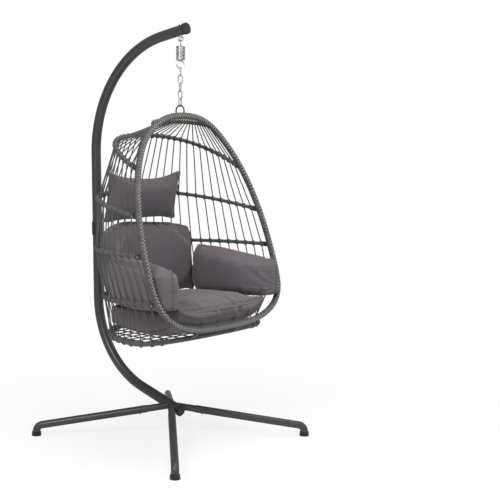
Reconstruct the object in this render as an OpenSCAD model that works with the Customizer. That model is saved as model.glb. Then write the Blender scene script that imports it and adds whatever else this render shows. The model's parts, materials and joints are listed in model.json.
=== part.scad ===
// Hanging egg chair on a bent-pole stand.
// Millimetres, +Z up, the chair faces -Y. The origin is on the ground, below the middle of the whole outline.

/* [Stand] */
// Distance between neighbouring foot centres
foot_pitch = 912; // [800:1:1040]
// Outer diameter of a leg tube
leg_d = 36; // [32:0.5:42]
// Wall of a leg tube
leg_wall = 1.5; // [1.2:0.1:2.4]
// Fall of a leg from the hub to its foot, in degrees
leg_fall = 9; // [6:0.5:12]
// Radius of the bend at a leg's end
foot_bend_r = 32; // [28:1:45]
// Straight drop of the leg tube below its bend
foot_drop = 14; // [8:1:30]
// Distance from the hub to the seam of a leg
leg_seam = 118; // [90:1:160]
// Length of stub tube inside a leg
stub_grip = 70; // [50:1:110]
// Height of a foot cap
foot_cap_h = 20; // [16:0.5:24]
// Thickness of the floor of a foot cap
foot_cap_floor = 6; // [3:0.5:8]
// Wall of a foot cap
foot_cap_wall = 3; // [2:0.25:5]

/* [Pole] */
// Outer diameter of the pole
pole_d = 48; // [44:0.5:54]
// Wall of the pole
pole_wall = 2; // [1.5:0.1:3]
// Rise of the pole's tail where it crosses the hub, in degrees
tail_rise = 16; // [12:0.5:20]
// Pole length from its front end to the hub
tail_front = 58; // [50:1:90]
// Straight pole length from the hub to the lower bend
tail_rear = 206; // [170:1:240]
// Radius of the lower bend
lower_bend_r = 438; // [400:1:470]
// Lean of the straight part away from the chair, in degrees
pole_lean = 1.5; // [0:0.1:2.5]
// Length of the straight part between the bends
pole_straight = 730; // [680:1:800]
// Radius of the crook at the top
crook_r = 543; // [510:1:570]
// Rise of the arm towards its tip, in degrees
arm_rise = 10; // [6:0.5:14]
// Length of the straight arm after the crook
arm_len = 153; // [140:1:190]
// Distance from the start of the straight part to the seam of the two poles
pole_seam = 530; // [480:1:600]
// Length of the inner joiner tube on each side of the seam
joiner_half = 130; // [115:1:150]
// Distance from the seam down to the joiner bolt
joiner_bolt_drop = 105; // [90:1:112]
// Height of the bumper sleeve
bumper_h = 65; // [50:1:80]
// Thickness of the bumper sleeve
bumper_wall = 3.5; // [2:0.25:5]
// Distance from the seam down to the middle of the bumper
bumper_below_seam = 178; // [150:1:230]

/* [Hanger] */
// Distance from the arm's tip back to the eyebolt, along the arm
hang_inset = 26; // [22:1:40]
// Wire diameter of the eyebolt
eye_wire = 8; // [7:0.5:9]
// Radius of the eye to the middle of its wire
eye_r = 10; // [9.5:0.5:12]
// Wire diameter of the spring and its hooks
spring_wire = 5; // [4:0.25:5.5]
// Outer diameter of the spring
spring_od = 43; // [38:1:48]
// Turns of the spring
spring_turns = 10; // [8:1:12]
// Rise of the spring in one turn
spring_pitch = 6.2; // [5.8:0.1:7]
// Radius of the upper hook to the middle of its wire
top_hook_r = 13; // [12:0.5:15]
// Radius of the lower hook to the middle of its wire
bottom_hook_r = 17; // [14:0.5:18]
// Wire diameter of a chain link
link_wire = 5.5; // [5:0.25:6]
// Outer width of a chain link
link_w = 24; // [22:0.5:28]
// Outer length of a chain link
link_len = 46.5; // [42:0.5:50]
// Rod diameter of the loop on the basket's crown
loop_wire = 7; // [6:0.5:8]
// Height of the loop above the rim's upper edge
loop_rise = 36; // [34:1:44]
// Free play where two hooks or links hang in each other
hook_play = 0.4; // [0.3:0.1:0.6]

/* [Basket] */
// Width of the front rim, to the middle of its tube
rim_w = 864; // [820:1:900]
// Height of the front rim, to the middle of its tube
rim_h = 953; // [900:1:1000]
// Distance from the rim's crown down to its widest place
rim_wide_drop = 659; // [620:1:700]
// Set-back of the rim's crown from the chain line, towards the front
rim_crown_front = 25; // [22:1:35]
// How far the rim's foot lies in front of its crown
rim_rake = 267; // [230:1:290]
// Outer diameter of the wound front rim
rim_d = 30; // [26:0.5:34]
// Outer diameter of the wound crown bar
crown_d = 26; // [22:0.5:30]
// Half the width of the crown bar where it meets the rim
crown_half = 190; // [170:1:210]
// Drop of the crown bar's middle below the rim's crown
crown_mid_drop = 24; // [18:1:30]
// Diameter of a hoop tube with the cord wound on it
hoop_d = 18; // [16:0.5:20]
// Drop of hoop 1's ends below the rim's crown
hoop_1_drop = 244; // [225:1:265]
// Drop of hoop 1's back
hoop_1_back_drop = 91; // [75:1:110]
// Reach of hoop 1's back behind the chain line
hoop_1_reach = 230; // [210:1:250]
// Drop of hoop 2's ends
hoop_2_drop = 446; // [425:1:465]
// Drop of hoop 2's back
hoop_2_back_drop = 366; // [350:1:385]
// Reach of hoop 2's back
hoop_2_reach = 335; // [320:1:345]
// Drop of hoop 3's ends
hoop_3_drop = 612; // [595:1:630]
// Drop of hoop 3's back
hoop_3_back_drop = 617; // [600:1:635]
// Reach of hoop 3's back
hoop_3_reach = 350; // [340:1:360]
// Drop of hoop 4's ends
hoop_4_drop = 815; // [800:1:830]
// Drop of hoop 4's back
hoop_4_back_drop = 842; // [825:1:860]
// Reach of hoop 4's back
hoop_4_reach = 310; // [302:1:325]
// Diameter of the wound bottom hoop
bottom_hoop_d = 24; // [20:0.5:28]
// Width of the bottom hoop, to the middle of its tube
bottom_hoop_w = 830; // [800:1:850]
// Drop of the bottom hoop below the rim's foot
bottom_hoop_below = 44; // [36:1:60]
// Distance of the bottom hoop's widest place in front of the chain line
bottom_hoop_wide_front = 115; // [100:1:130]
// Depth of the bottom hoop in front of its widest place
bottom_hoop_front = 100; // [85:1:115]
// Depth of the bottom hoop behind its widest place
bottom_hoop_rear = 375; // [350:1:400]
// Distance of each strut under the seat from the middle
strut_x = 150; // [120:1:190]
// Diameter of a strut under the seat
strut_d = 14; // [12:0.5:18]
// Number of upright cords
cord_count = 32; // [26:2:36]
// Diameter of a cord
cord_d = 5.5; // [4.5:0.25:6]
// Number of cords under the seat
seat_cord_count = 13; // [9:2:17]
// Length of a hoop's end socket outside the rim
socket_len = 22; // [20:1:28]
// Wall of a hoop's end socket
socket_wall = 2.5; // [2:0.25:3]
// Shank diameter of a hoop's bolt
hoop_bolt_d = 6; // [5:0.5:6]

/* [Cushions] */
// Width of the seat cushion
seat_w = 614; // [590:1:625]
// Depth of the seat cushion
seat_depth = 430; // [400:1:445]
// Thickness of the seat cushion
seat_t = 155; // [130:1:165]
// Distance of the seat cushion's middle in front of the chain line
seat_front = 66; // [55:1:70]
// Width of the back cushion
back_w = 570; // [520:1:600]
// Height of the back cushion
back_h = 345; // [320:1:365]
// Thickness of the back cushion
back_t = 145; // [120:1:150]
// Length of a side cushion
side_len = 452; // [420:1:460]
// Height of a side cushion
side_h = 226; // [205:1:235]
// Thickness of a side cushion
side_t = 130; // [110:1:135]
// Width of the head pillow over its corners
pillow_w = 490; // [450:1:500]
// Height of the head pillow over its corners
pillow_h = 240; // [220:1:250]
// Thickness of the head pillow
pillow_t = 105; // [90:1:115]
// Diameter of a tie string
tie_d = 4; // [4:0.5:5]

/* [Hidden] */
$fn = 48;

// Colours
powder_coat = "#3d3d41";
black_plastic = "#161616";
bright_zinc = "#c9ccd0";
black_steel = "#232324";
grey_wicker = "#6e6a60";
dark_cord = "#37373a";
grey_cloth = "#59525a";

// Clearances
slide_fit = 0.2;
bolt_fit = 0.1;

// A bend is this much slimmer than the straight tube, which laps over its ends.
bend_draw = 0.1;
bend_lap = 0.2;

// ---- stand, worked out from the hub outwards -------------------------------------------------

pole_r = pole_d / 2;
leg_r = leg_d / 2;
leg_bore_r = leg_r - leg_wall;
stub_r = leg_bore_r - slide_fit;
foot_radial = foot_pitch / sqrt(2);
foot_cap_r = leg_r + slide_fit + foot_cap_wall + 2;
leg_run = foot_radial - foot_bend_r * (1 - sin(leg_fall));
leg_straight = leg_run / cos(leg_fall);
leg_bottom_z = foot_cap_floor + foot_drop;
hub_z = leg_bottom_z + foot_bend_r * cos(leg_fall) + leg_straight * sin(leg_fall);

// The pole is followed in its own plane, as [y, z] points measured from the hub's ground point.
function heading(a) = [cos(a), sin(a)];
function left_of(a) = [-sin(a), cos(a)];
upright = 90 - pole_lean;
crook_end = 180 - arm_rise;
pole_hub = [0, hub_z];
pole_front = pole_hub - tail_front * heading(tail_rise);
bend_start = pole_hub + tail_rear * heading(tail_rise);
bend_centre = bend_start + lower_bend_r * left_of(tail_rise);
straight_start = bend_centre - lower_bend_r * left_of(upright);
straight_end = straight_start + pole_straight * heading(upright);
crook_centre = straight_end - [crook_r * sin(upright), -crook_r * cos(upright)];
arm_start = crook_centre + [crook_r * sin(crook_end), -crook_r * cos(crook_end)];
arm_tip = arm_start + arm_len * heading(crook_end);
seam = straight_start + pole_seam * heading(upright);
bumper_mid = seam - bumper_below_seam * heading(upright);
joiner_bolt_at = seam - joiner_bolt_drop * heading(upright);

// The origin lies below the middle of the outline, between the rear of the crook and the front feet.
rear_reach = crook_centre[0] + crook_r + pole_r;
front_reach = foot_pitch / 2 + foot_cap_r;
hub_y = (front_reach - rear_reach) / 2;

// ---- hanger, worked out from the arm downwards -----------------------------------------------

// Turn of each hanging piece about the chain line. Every link stands across the one above it,
// and a small extra turn at each contact brings the loop into line with the basket.
eye_turn = 133;
top_hook_turn = 43;
bottom_hook_turn = 132;
contact_turn = 83;
function link_turn(k) = bottom_hook_turn + contact_turn * k;

hang_point = arm_tip - hang_inset * heading(crook_end);
hang_y = hub_y + hang_point[0];
arm_top_z = hang_point[1] + pole_r / cos(arm_rise);
arm_under_z = hang_point[1] - pole_r / cos(arm_rise);
eye_clear = 1.5;
eye_z = arm_under_z - eye_clear - eye_wire / 2 - eye_r;
top_contact_z = eye_z - eye_r + eye_wire / 2 + hook_play / 2;
top_hook_z = top_contact_z + hook_play / 2 + spring_wire / 2 - top_hook_r;
coil_gap = 3.5;
coil_top_z = top_hook_z - top_hook_r - coil_gap;
coil_r = (spring_od - spring_wire) / 2;
coil_sweep = 360 * spring_turns + bottom_hook_turn - top_hook_turn;
coil_h = spring_pitch * coil_sweep / 360;
coil_bottom_z = coil_top_z - coil_h;
bottom_hook_z = coil_bottom_z - coil_gap - bottom_hook_r;
bottom_contact_z = bottom_hook_z - bottom_hook_r + spring_wire / 2 + hook_play / 2;
link_rise = link_len - link_wire;
link_step = link_rise - link_wire - hook_play;
first_link_z = bottom_contact_z + hook_play / 2 + link_wire / 2;
link_count = 5;
last_contact_z = first_link_z - (link_count - 1) * link_step - link_rise + link_wire / 2 + hook_play / 2;
loop_top_z = last_contact_z + hook_play / 2 + loop_wire / 2;
crown_z = loop_top_z + loop_wire / 2 - loop_rise - rim_d / 2;

// ---- basket, measured from the chain line and the rim's crown --------------------------------

rim_r = rim_d / 2;
rim_half_w = rim_w / 2;
rim_low_h = rim_h - rim_wide_drop;
bottom_hoop_drop = rim_h + bottom_hoop_below;
rake_ease = 150;
upper_power_x = 2.4;
upper_power_z = 2;
lower_power_x = 3;
lower_power_z = 3.3;
hoop_power = 2.5;
hoop_r = hoop_d / 2;
cord_r = cord_d / 2;
cord_inset = 4;
hoop_free = rim_r + socket_len + 2.5 * cord_d;
crown_free = rim_r + cord_d;

// Forward slope of the rim: none at either end, eased in and out over rake_ease.
function ramp(d) =
    let (s = rim_rake / (rim_h - rake_ease), e = rake_ease)
    d < 0 ? 0
    : d < e ? s * d * d / (2 * e)
    : d < rim_h - e ? s * (d - e / 2)
    : d < rim_h ? rim_rake - s * pow(rim_h - d, 2) / (2 * e)
    : rim_rake;

// The rim's half width and its distance from the chain line, at a drop below the crown.
function rim_half_at(d) =
    d < rim_wide_drop
    ? rim_half_w * pow(1 - pow((rim_wide_drop - d) / rim_wide_drop, upper_power_z), 1 / upper_power_x)
    : rim_half_w * pow(1 - pow((d - rim_wide_drop) / rim_low_h, lower_power_z), 1 / lower_power_x);
function rim_y_at(d) = -rim_crown_front - ramp(d);

// One point of the rim, from angle 0 at its widest place up over the crown and round.
function rim_point(a) =
    let (
        up = sin(a) >= 0,
        px = up ? upper_power_x : lower_power_x,
        pz = up ? upper_power_z : lower_power_z,
        x = sign(cos(a)) * rim_half_w * pow(abs(cos(a)), 2 / px),
        h = (up ? rim_wide_drop : rim_low_h) * pow(abs(sin(a)), 2 / pz),
        d = rim_wide_drop - (up ? h : -h)
    )
    [x, rim_y_at(d), -d];
rim_steps = 72;
rim_path = [for (i = [0:rim_steps - 1]) rim_point(360 * i / rim_steps)];

// A U-shaped hoop from its left end on the rim round the back to its right end.
function hoop_point(drop, back_drop, reach, a) =
    let (
        w = rim_half_at(drop),
        y0 = rim_y_at(drop),
        c = cos(a),
        s = pow(abs(sin(a)), 2 / hoop_power)
    )
    [-sign(c) * w * pow(abs(c), 2 / hoop_power), y0 + (reach - y0) * s, -drop + (drop - back_drop) * s];
hoop_steps = 36;
function hoop_path(drop, back_drop, reach) =
    [for (i = [0:hoop_steps]) hoop_point(drop, back_drop, reach, 180 * i / hoop_steps)];
hoop_paths = [
    hoop_path(hoop_1_drop, hoop_1_back_drop, hoop_1_reach),
    hoop_path(hoop_2_drop, hoop_2_back_drop, hoop_2_reach),
    hoop_path(hoop_3_drop, hoop_3_back_drop, hoop_3_reach),
    hoop_path(hoop_4_drop, hoop_4_back_drop, hoop_4_reach)
];

// The crown bar leaves the rim on the left, runs behind its crown and comes back on the right.
function drop_at_half(w, lo, hi, n) =
    n == 0 ? (lo + hi) / 2
    : rim_half_at((lo + hi) / 2) < w ? drop_at_half(w, (lo + hi) / 2, hi, n - 1)
    : drop_at_half(w, lo, (lo + hi) / 2, n - 1);
crown_end_drop = drop_at_half(crown_half, 0, rim_wide_drop, 30);
crown_steps = 20;
crown_path = [
    for (i = [0:crown_steps])
        let (a = 180 * i / crown_steps, s = pow(sin(a), 0.8), y0 = rim_y_at(crown_end_drop))
        [-crown_half * cos(a), y0 + (rim_crown_front - y0) * s,
            -crown_end_drop + (crown_end_drop - crown_mid_drop) * s]
];

// The bottom hoop is a flat closed D, rounded at the back.
function bottom_point(a) =
    let (
        s = sin(a),
        n = s > 0 ? 2 : 2.8,
        depth = s > 0 ? bottom_hoop_rear : bottom_hoop_front
    )
    [sign(cos(a)) * bottom_hoop_w / 2 * pow(abs(cos(a)), 2 / n),
        -bottom_hoop_wide_front + sign(s) * depth * pow(abs(s), 2 / n), -bottom_hoop_drop];
bottom_steps = 48;
bottom_path = [for (i = [0:bottom_steps - 1]) bottom_point(360 * i / bottom_steps)];
// The part of it that the upright cords reach, from front left round the back to front right.
base_reach_angle = 48;
base_path = [
    for (i = [0:bottom_steps])
        let (a = 180 + base_reach_angle - (180 + 2 * base_reach_angle) * i / bottom_steps)
        bottom_point(a)
];

// Lengths along a path, and the point at a share of its whole length.
function step_at(p, i) = i + 1 < len(p) ? norm(p[i + 1] - p[i]) : 0;
function run_lengths(p) = [for (i = 0, s = 0; i < len(p); s = s + step_at(p, i), i = i + 1) s];
function seek(run, s, i) = i >= len(run) - 2 || run[i + 1] >= s ? i : seek(run, s, i + 1);
function point_along(p, share) =
    let (
        run = run_lengths(p),
        s = share * run[len(run) - 1],
        i = seek(run, s, 0),
        t = (s - run[i]) / (run[i + 1] - run[i])
    )
    p[i] + t * (p[i + 1] - p[i]);

// ---- shapes that repeat ----------------------------------------------------------------------

module side_plane() {
    translate([0, hub_y, 0]) rotate([90, 0, 90]) children();
}

module rod(from, to, r) {
    v = to - from;
    translate(from)
        rotate([0, acos(v[2] / norm(v)), atan2(v[1], v[0])])
            cylinder(h = norm(v), r = r);
}

module flat_rod(from, angle, length, r) {
    translate([from[0], from[1], 0]) rotate([0, 0, angle]) rotate([0, 90, 0]) cylinder(h = length, r = r);
}

// Bending draws a tube in by a hair.
module flat_bend(centre, bend_r, from_angle, sweep, r) {
    translate([centre[0], centre[1], 0])
        rotate([0, 0, from_angle])
            rotate_extrude(angle = sweep)
                translate([bend_r, 0]) circle(r = r - bend_draw);
}

function unit(v) = v / norm(v);

// Round bar along a path. The reference direction is never along the path.
module swept_bar(path, r, sides, closed, ref) {
    n = len(path);
    last = closed ? n : n - 1;
    rings = [
        for (i = [0:n - 1])
            let (
                before = closed ? path[(i + n - 1) % n] : path[max(i - 1, 0)],
                after = closed ? path[(i + 1) % n] : path[min(i + 1, n - 1)],
                t = unit(after - before),
                side = unit(cross(t, ref)),
                up = cross(side, t)
            )
            for (j = [0:sides - 1])
                let (a = 360 * (j + 0.5) / sides)
                path[i] + r * cos(a) * side + r * sin(a) * up
    ];
    walls = [
        for (i = [0:last - 1], j = [0:sides - 1])
            let (
                a = i * sides + j,
                b = i * sides + (j + 1) % sides,
                c = ((i + 1) % n) * sides + (j + 1) % sides,
                d = ((i + 1) % n) * sides + j
            )
            each [[a, b, c], [a, c, d]]
    ];
    first_cap = [for (j = [1:sides - 2]) [0, j + 1, j]];
    last_cap = [for (j = [1:sides - 2]) [(n - 1) * sides, (n - 1) * sides + j, (n - 1) * sides + j + 1]];
    polyhedron(points = rings, faces = closed ? walls : concat(walls, first_cap, last_cap));
}

// Where the basket hangs.
module basket_place() {
    translate([0, hang_y, crown_z]) children();
}

// Where the hanging pieces turn about the chain line.
module chain_place(z, turn) {
    translate([0, hang_y, z]) rotate([0, 0, turn]) children();
}

// ---- poles -----------------------------------------------------------------------------------

module lower_pole_bar(r, extra) {
    side_plane() {
        flat_rod(pole_front - extra * heading(tail_rise), tail_rise,
            tail_front + tail_rear + extra + bend_lap, r);
        flat_bend(bend_centre, lower_bend_r, tail_rise - 90, upright - tail_rise, r);
        flat_rod(straight_start - bend_lap * heading(upright), upright, pole_seam + extra + bend_lap, r);
    }
}

module upper_pole_bar(r, extra) {
    side_plane() {
        flat_rod(seam - extra * heading(upright), upright, pole_straight - pole_seam + extra + bend_lap, r);
        flat_bend(crook_centre, crook_r, upright - 90, crook_end - upright, r);
        flat_rod(arm_start - bend_lap * heading(crook_end), crook_end, arm_len + extra + bend_lap, r);
    }
}

module joiner_bolt_hole() {
    translate([0, hub_y + joiner_bolt_at[0], joiner_bolt_at[1]])
        rotate([0, 90, 0]) cylinder(h = pole_d * 2, r = joiner_bolt_r + bolt_fit, center = true);
}

module eyebolt_hole() {
    translate([0, hang_y, arm_under_z - 5])
        cylinder(h = pole_d + 20, r = eye_wire / 2 + bolt_fit);
}

joiner_bolt_r = 4;

module lower_pole() {
    color(powder_coat)
        difference() {
            lower_pole_bar(pole_r, 0);
            lower_pole_bar(pole_r - pole_wall, 1);
            joiner_bolt_hole();
        }
}

module upper_pole() {
    color(powder_coat)
        difference() {
            upper_pole_bar(pole_r, 0);
            upper_pole_bar(pole_r - pole_wall, 1);
            eyebolt_hole();
        }
}

joiner_r = pole_r - pole_wall - slide_fit;

module pole_joiner() {
    color(powder_coat)
        difference() {
            side_plane()
                difference() {
                    flat_rod(seam - joiner_half * heading(upright), upright, 2 * joiner_half, joiner_r);
                    flat_rod(seam - (joiner_half + 1) * heading(upright), upright,
                        2 * joiner_half + 2, joiner_r - pole_wall);
                }
            joiner_bolt_hole();
        }
}

module joiner_bolt() {
    head_h = 5;
    head_r = 6.5;
    color(bright_zinc)
        translate([0, hub_y + joiner_bolt_at[0], joiner_bolt_at[1]])
            rotate([0, 90, 0]) {
                cylinder(h = 2 * pole_r + 4, r = joiner_bolt_r, center = true);
                translate([0, 0, -pole_r - head_h]) cylinder(h = head_h, r = head_r);
                translate([0, 0, pole_r]) cylinder(h = head_h, r = head_r, $fn = 6);
            }
}

module pole_bumper() {
    color(black_plastic)
        side_plane()
            difference() {
                flat_rod(bumper_mid - bumper_h / 2 * heading(upright), upright,
                    bumper_h, pole_r + bumper_wall);
                flat_rod(bumper_mid - (bumper_h / 2 + 1) * heading(upright), upright,
                    bumper_h + 2, pole_r + slide_fit);
            }
}

// Plug with a rim that covers the tube's end.
module pole_cap(end, angle) {
    cap_h = 12;
    plug_h = hang_inset - pole_r * tan(arm_rise) - eye_wire / 2 - 2;
    color(black_plastic)
        side_plane() {
            flat_rod(end, angle, cap_h, pole_r + 2.5);
            flat_rod(end - plug_h * heading(angle), angle,
                plug_h + cap_h / 2, pole_r - pole_wall - slide_fit);
        }
}

module pole_top_cap() {
    pole_cap(arm_tip, crook_end);
}

module pole_bottom_cap() {
    pole_cap(pole_front, tail_rise + 180);
}

// ---- hub and legs ----------------------------------------------------------------------------

// Plane of one leg: local x runs outwards from the hub, local y runs up.
module leg_plane(turn) {
    translate([0, hub_y, 0]) rotate([0, 0, turn]) rotate([90, 0, 0]) children();
}

module hub_cross() {
    color(powder_coat)
        difference() {
            for (turn = [45:90:315])
                leg_plane(turn)
                    difference() {
                        flat_rod(pole_hub, -leg_fall, leg_seam + stub_grip, stub_r);
                        flat_rod(pole_hub, -leg_fall, leg_seam + stub_grip + 1, stub_r - leg_wall);
                        leg_screw_hole();
                    }
            side_plane() flat_rod(pole_front, tail_rise, tail_front + tail_rear, pole_r);
        }
}

screw_r = 3;
screw_at = leg_seam + stub_grip / 2;

module leg_screw_hole() {
    translate([pole_hub[0], pole_hub[1], 0])
        rotate([0, 0, -leg_fall])
            translate([screw_at, 0, 0]) rotate([90, 0, 0]) cylinder(h = leg_d, r = screw_r + bolt_fit);
}

module leg_bar(r, start, extra) {
    first = pole_hub + start * heading(-leg_fall);
    bend = pole_hub + leg_straight * heading(-leg_fall) - foot_bend_r * left_of(-leg_fall);
    flat_rod(first, -leg_fall, leg_straight - start + bend_lap, r);
    flat_bend(bend, foot_bend_r, 0, 90 - leg_fall, r);
    flat_rod([foot_radial, foot_cap_floor - extra], 90, foot_drop + extra + bend_lap, r);
}

module leg(turn) {
    color(powder_coat)
        leg_plane(turn)
            difference() {
                leg_bar(leg_r, leg_seam, 0);
                leg_bar(leg_bore_r, leg_seam - 1, 1);
                leg_screw_hole();
            }
}

module foot(turn) {
    color(black_plastic)
        leg_plane(turn)
            translate([foot_radial, 0, 0]) rotate([-90, 0, 0])
                difference() {
                    cylinder(h = foot_cap_h, r1 = foot_cap_r, r2 = foot_cap_r - 2);
                    translate([0, 0, foot_cap_floor]) cylinder(h = foot_cap_h, r = leg_r + slide_fit);
                }
}

module leg_front_left() { leg(225); }
module leg_front_right() { leg(315); }
module leg_rear_left() { leg(135); }
module leg_rear_right() { leg(45); }
module foot_front_left() { foot(225); }
module foot_front_right() { foot(315); }
module foot_rear_left() { foot(135); }
module foot_rear_right() { foot(45); }

module leg_screws() {
    head_h = 3;
    head_r = 5.5;
    screw_tip = 2;
    color(bright_zinc)
        for (turn = [45:90:315])
            leg_plane(turn)
                translate([pole_hub[0], pole_hub[1], 0])
                    rotate([0, 0, -leg_fall])
                        translate([screw_at, 0, 0]) rotate([90, 0, 0]) {
                            translate([0, 0, stub_r - leg_wall - screw_tip])
                                cylinder(h = leg_r - stub_r + leg_wall + screw_tip + head_h, r = screw_r);
                            translate([0, 0, leg_r]) cylinder(h = head_h, r = head_r);
                        }
}

// ---- hanger ----------------------------------------------------------------------------------

nut_h = 6.5;
nut_r = 7.5;
washer_h = 2.5;
washer_r = 10;

module eyebolt() {
    thread_above = 14;
    color(bright_zinc)
        chain_place(0, eye_turn) {
            translate([0, 0, eye_z + eye_r])
                cylinder(h = arm_top_z + thread_above - eye_z - eye_r, r = eye_wire / 2);
            translate([0, 0, eye_z])
                rotate([90, 0, 0]) rotate_extrude() translate([eye_r, 0]) circle(r = eye_wire / 2);
        }
}

module eyebolt_nuts() {
    color(bright_zinc)
        difference() {
            translate([0, hang_y, 0]) {
                translate([0, 0, arm_top_z - 4]) cylinder(h = washer_h + 4, r = washer_r);
                translate([0, 0, arm_top_z + washer_h]) cylinder(h = nut_h, r = nut_r, $fn = 6);
            }
            upper_pole_bar(pole_r, 0);
            translate([0, hang_y, arm_top_z - 10]) cylinder(h = 30, r = eye_wire / 2 + bolt_fit);
        }
}

// A hook is the spring's own wire: from the coil's end it slants in to the chain line and goes round a loop.
// Its loop starts at the edge next to the coil and stops short of closing.
coil_lead = spring_wire;
hook_steps = 24;
hook_open = 35;
hook_bend_r = 3.5;
hook_bend_turn = 125;
hook_bend_steps = 5;
function hook_path(loop_r, loop_rise) = concat(
    [[coil_r, -coil_lead, 0]],
    [for (i = [0:hook_bend_steps])
        let (share = i / hook_bend_steps, a = -hook_bend_turn * share)
        [coil_r - hook_bend_r + hook_bend_r * cos(a), -coil_lead - 1.5 + hook_bend_r * sin(a), 1.2 * share]],
    [for (i = [0:hook_steps])
        let (a = -90 - (360 - hook_open) * i / hook_steps)
        [loop_r * cos(a), 0, loop_rise + loop_r + loop_r * sin(a)]]
);

module spring_hook(loop_r) {
    swept_bar(hook_path(loop_r, coil_gap), spring_wire / 2, hoop_sides, false, [-0.3, 1, 0]);
}

module spring_top_hook() {
    color(bright_zinc) chain_place(coil_top_z, top_hook_turn) spring_hook(top_hook_r);
}

module spring_bottom_hook() {
    color(bright_zinc)
        chain_place(coil_bottom_z, bottom_hook_turn)
            rotate([180, 0, 0]) spring_hook(bottom_hook_r);
}

// The coil is one unbroken tube: a straight lead, the curls, a straight lead.
curl_rings = 8;
coil_steps = ceil(curl_rings * coil_sweep / 360);
function coil_point(a) = [coil_r * cos(a), coil_r * sin(a), -spring_pitch * a / 360];
coil_curl = [for (i = [0:coil_steps]) coil_point(coil_sweep * i / coil_steps)];
coil_path = concat(
    [coil_point(0) - coil_lead * [0, 1, 0]],
    coil_curl,
    [coil_point(coil_sweep) + coil_lead * [-sin(coil_sweep), cos(coil_sweep), 0]]
);
coil_sides = 6;
coil_least_gap = min([
    for (i = [0:len(coil_curl) - 1], j = [i + curl_rings / 2:1:len(coil_curl) - 1])
        norm(coil_curl[i] - coil_curl[j])
]) - spring_wire;
echo(coil_least_gap_to_itself = coil_least_gap);  // spring_coil

module spring_coil() {
    color(bright_zinc)
        chain_place(coil_top_z, top_hook_turn)
            swept_bar(coil_path, spring_wire / 2, coil_sides, false, [0, 0, 1]);
}

module chain_link(k) {
    end_r = (link_w - link_wire) / 2;
    half = link_rise / 2 - end_r;
    color(bright_zinc)
        chain_place(first_link_z - (k - 1) * link_step - link_rise / 2, link_turn(k))
            rotate([90, 0, 0]) {
                for (up = [0, 180])
                    rotate([0, 0, up])
                        translate([0, half, 0])
                            rotate_extrude(angle = 180) translate([end_r, 0]) circle(r = link_wire / 2);
                for (x = [-end_r, end_r])
                    translate([x, -half, 0]) rotate([-90, 0, 0]) cylinder(h = 2 * half, r = link_wire / 2);
            }
}

module chain_link_1() { chain_link(1); }
module chain_link_2() { chain_link(2); }
module chain_link_3() { chain_link(3); }
module chain_link_4() { chain_link(4); }
module chain_link_5() { chain_link(5); }

// Loop across the chain line: its front leg stands on the rim, its rear leg on the crown bar.
module hanger_loop() {
    bend_z = loop_top_z - crown_z - rim_crown_front;
    front_foot = rim_r - 1.5;
    rear_foot = -crown_mid_drop + crown_d / 2 - 1.5;
    color(black_steel)
        basket_place() {
            translate([0, 0, bend_z])
                rotate([90, 0, 90])
                    rotate_extrude(angle = 180)
                        translate([rim_crown_front, 0]) circle(r = loop_wire / 2 - bend_draw);
            for (leg = [[-rim_crown_front, front_foot], [rim_crown_front, rear_foot]])
                translate([0, leg[0], leg[1]]) cylinder(h = bend_z + bend_lap - leg[1], r = loop_wire / 2);
        }
}

// ---- basket frame ----------------------------------------------------------------------------

bar_sides = 10;
hoop_sides = 8;

module front_rim() {
    color(grey_wicker) basket_place() swept_bar(rim_path, rim_r, bar_sides, true, [0, 1, 0]);
}

module crown_bar() {
    color(grey_wicker) basket_place() swept_bar(crown_path, crown_d / 2, bar_sides, false, [0, 0, 1]);
}

// A hoop starts outside the rim, inside its socket.
socket_gap = 2;
function hoop_end_dir(k) = unit(hoop_paths[k][1] - hoop_paths[k][0]);
function inner_path(k) =
    let (
        p = hoop_paths[k],
        n = len(p),
        skip = rim_r + socket_gap,
        keep = [for (q = p) if (norm(q - p[0]) > skip + 12 && norm(q - p[n - 1]) > skip + 12) q],
        right_dir = unit(p[n - 2] - p[n - 1])
    )
    concat([p[0] + skip * hoop_end_dir(k)], keep, [p[n - 1] + skip * right_dir]);

module hoop(k) {
    color(dark_cord) basket_place() swept_bar(inner_path(k), hoop_r, hoop_sides, false, [0, 0, 1]);
}

module hoop_1() { hoop(0); }
module hoop_2() { hoop(1); }
module hoop_3() { hoop(2); }
module hoop_4() { hoop(3); }

module bottom_hoop() {
    color(dark_cord) basket_place() swept_bar(bottom_path, bottom_hoop_d / 2, bar_sides, true, [0, 0, 1]);
}

// Struts from the bottom hoop's front bar up to the rim's foot.
module seat_struts() {
    color(dark_cord)
        basket_place()
            for (x = [-strut_x, strut_x])
                rod([x, -bottom_hoop_wide_front - bottom_hoop_front, -bottom_hoop_drop],
                    [x, rim_y_at(rim_h), -rim_h], strut_d / 2);
}

// Sockets on the rim hold the hoop ends, with a bolt across each. Local z runs along the hoop's end.
module at_hoop_ends() {
    for (k = [0:3], right = [0, 1]) {
        v = hoop_end_dir(k);
        mirror([right, 0, 0])
            translate(hoop_paths[k][0])
                rotate([0, acos(v[2]), atan2(v[1], v[0])])
                    children();
    }
}

socket_r = hoop_r + slide_fit + socket_wall;
socket_root = rim_r - 5;
socket_bolt_at = rim_r + socket_len - 7;

module hoop_sockets() {
    color(black_steel)
        basket_place()
            at_hoop_ends()
                difference() {
                    translate([0, 0, socket_root])
                        cylinder(h = rim_r - socket_root + socket_len, r = socket_r);
                    translate([0, 0, rim_r]) cylinder(h = socket_len + 1, r = hoop_r + slide_fit);
                    translate([0, 0, socket_bolt_at])
                        rotate([90, 0, 0])
                            cylinder(h = 4 * socket_r, r = hoop_bolt_d / 2 + bolt_fit, center = true);
                }
}

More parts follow.
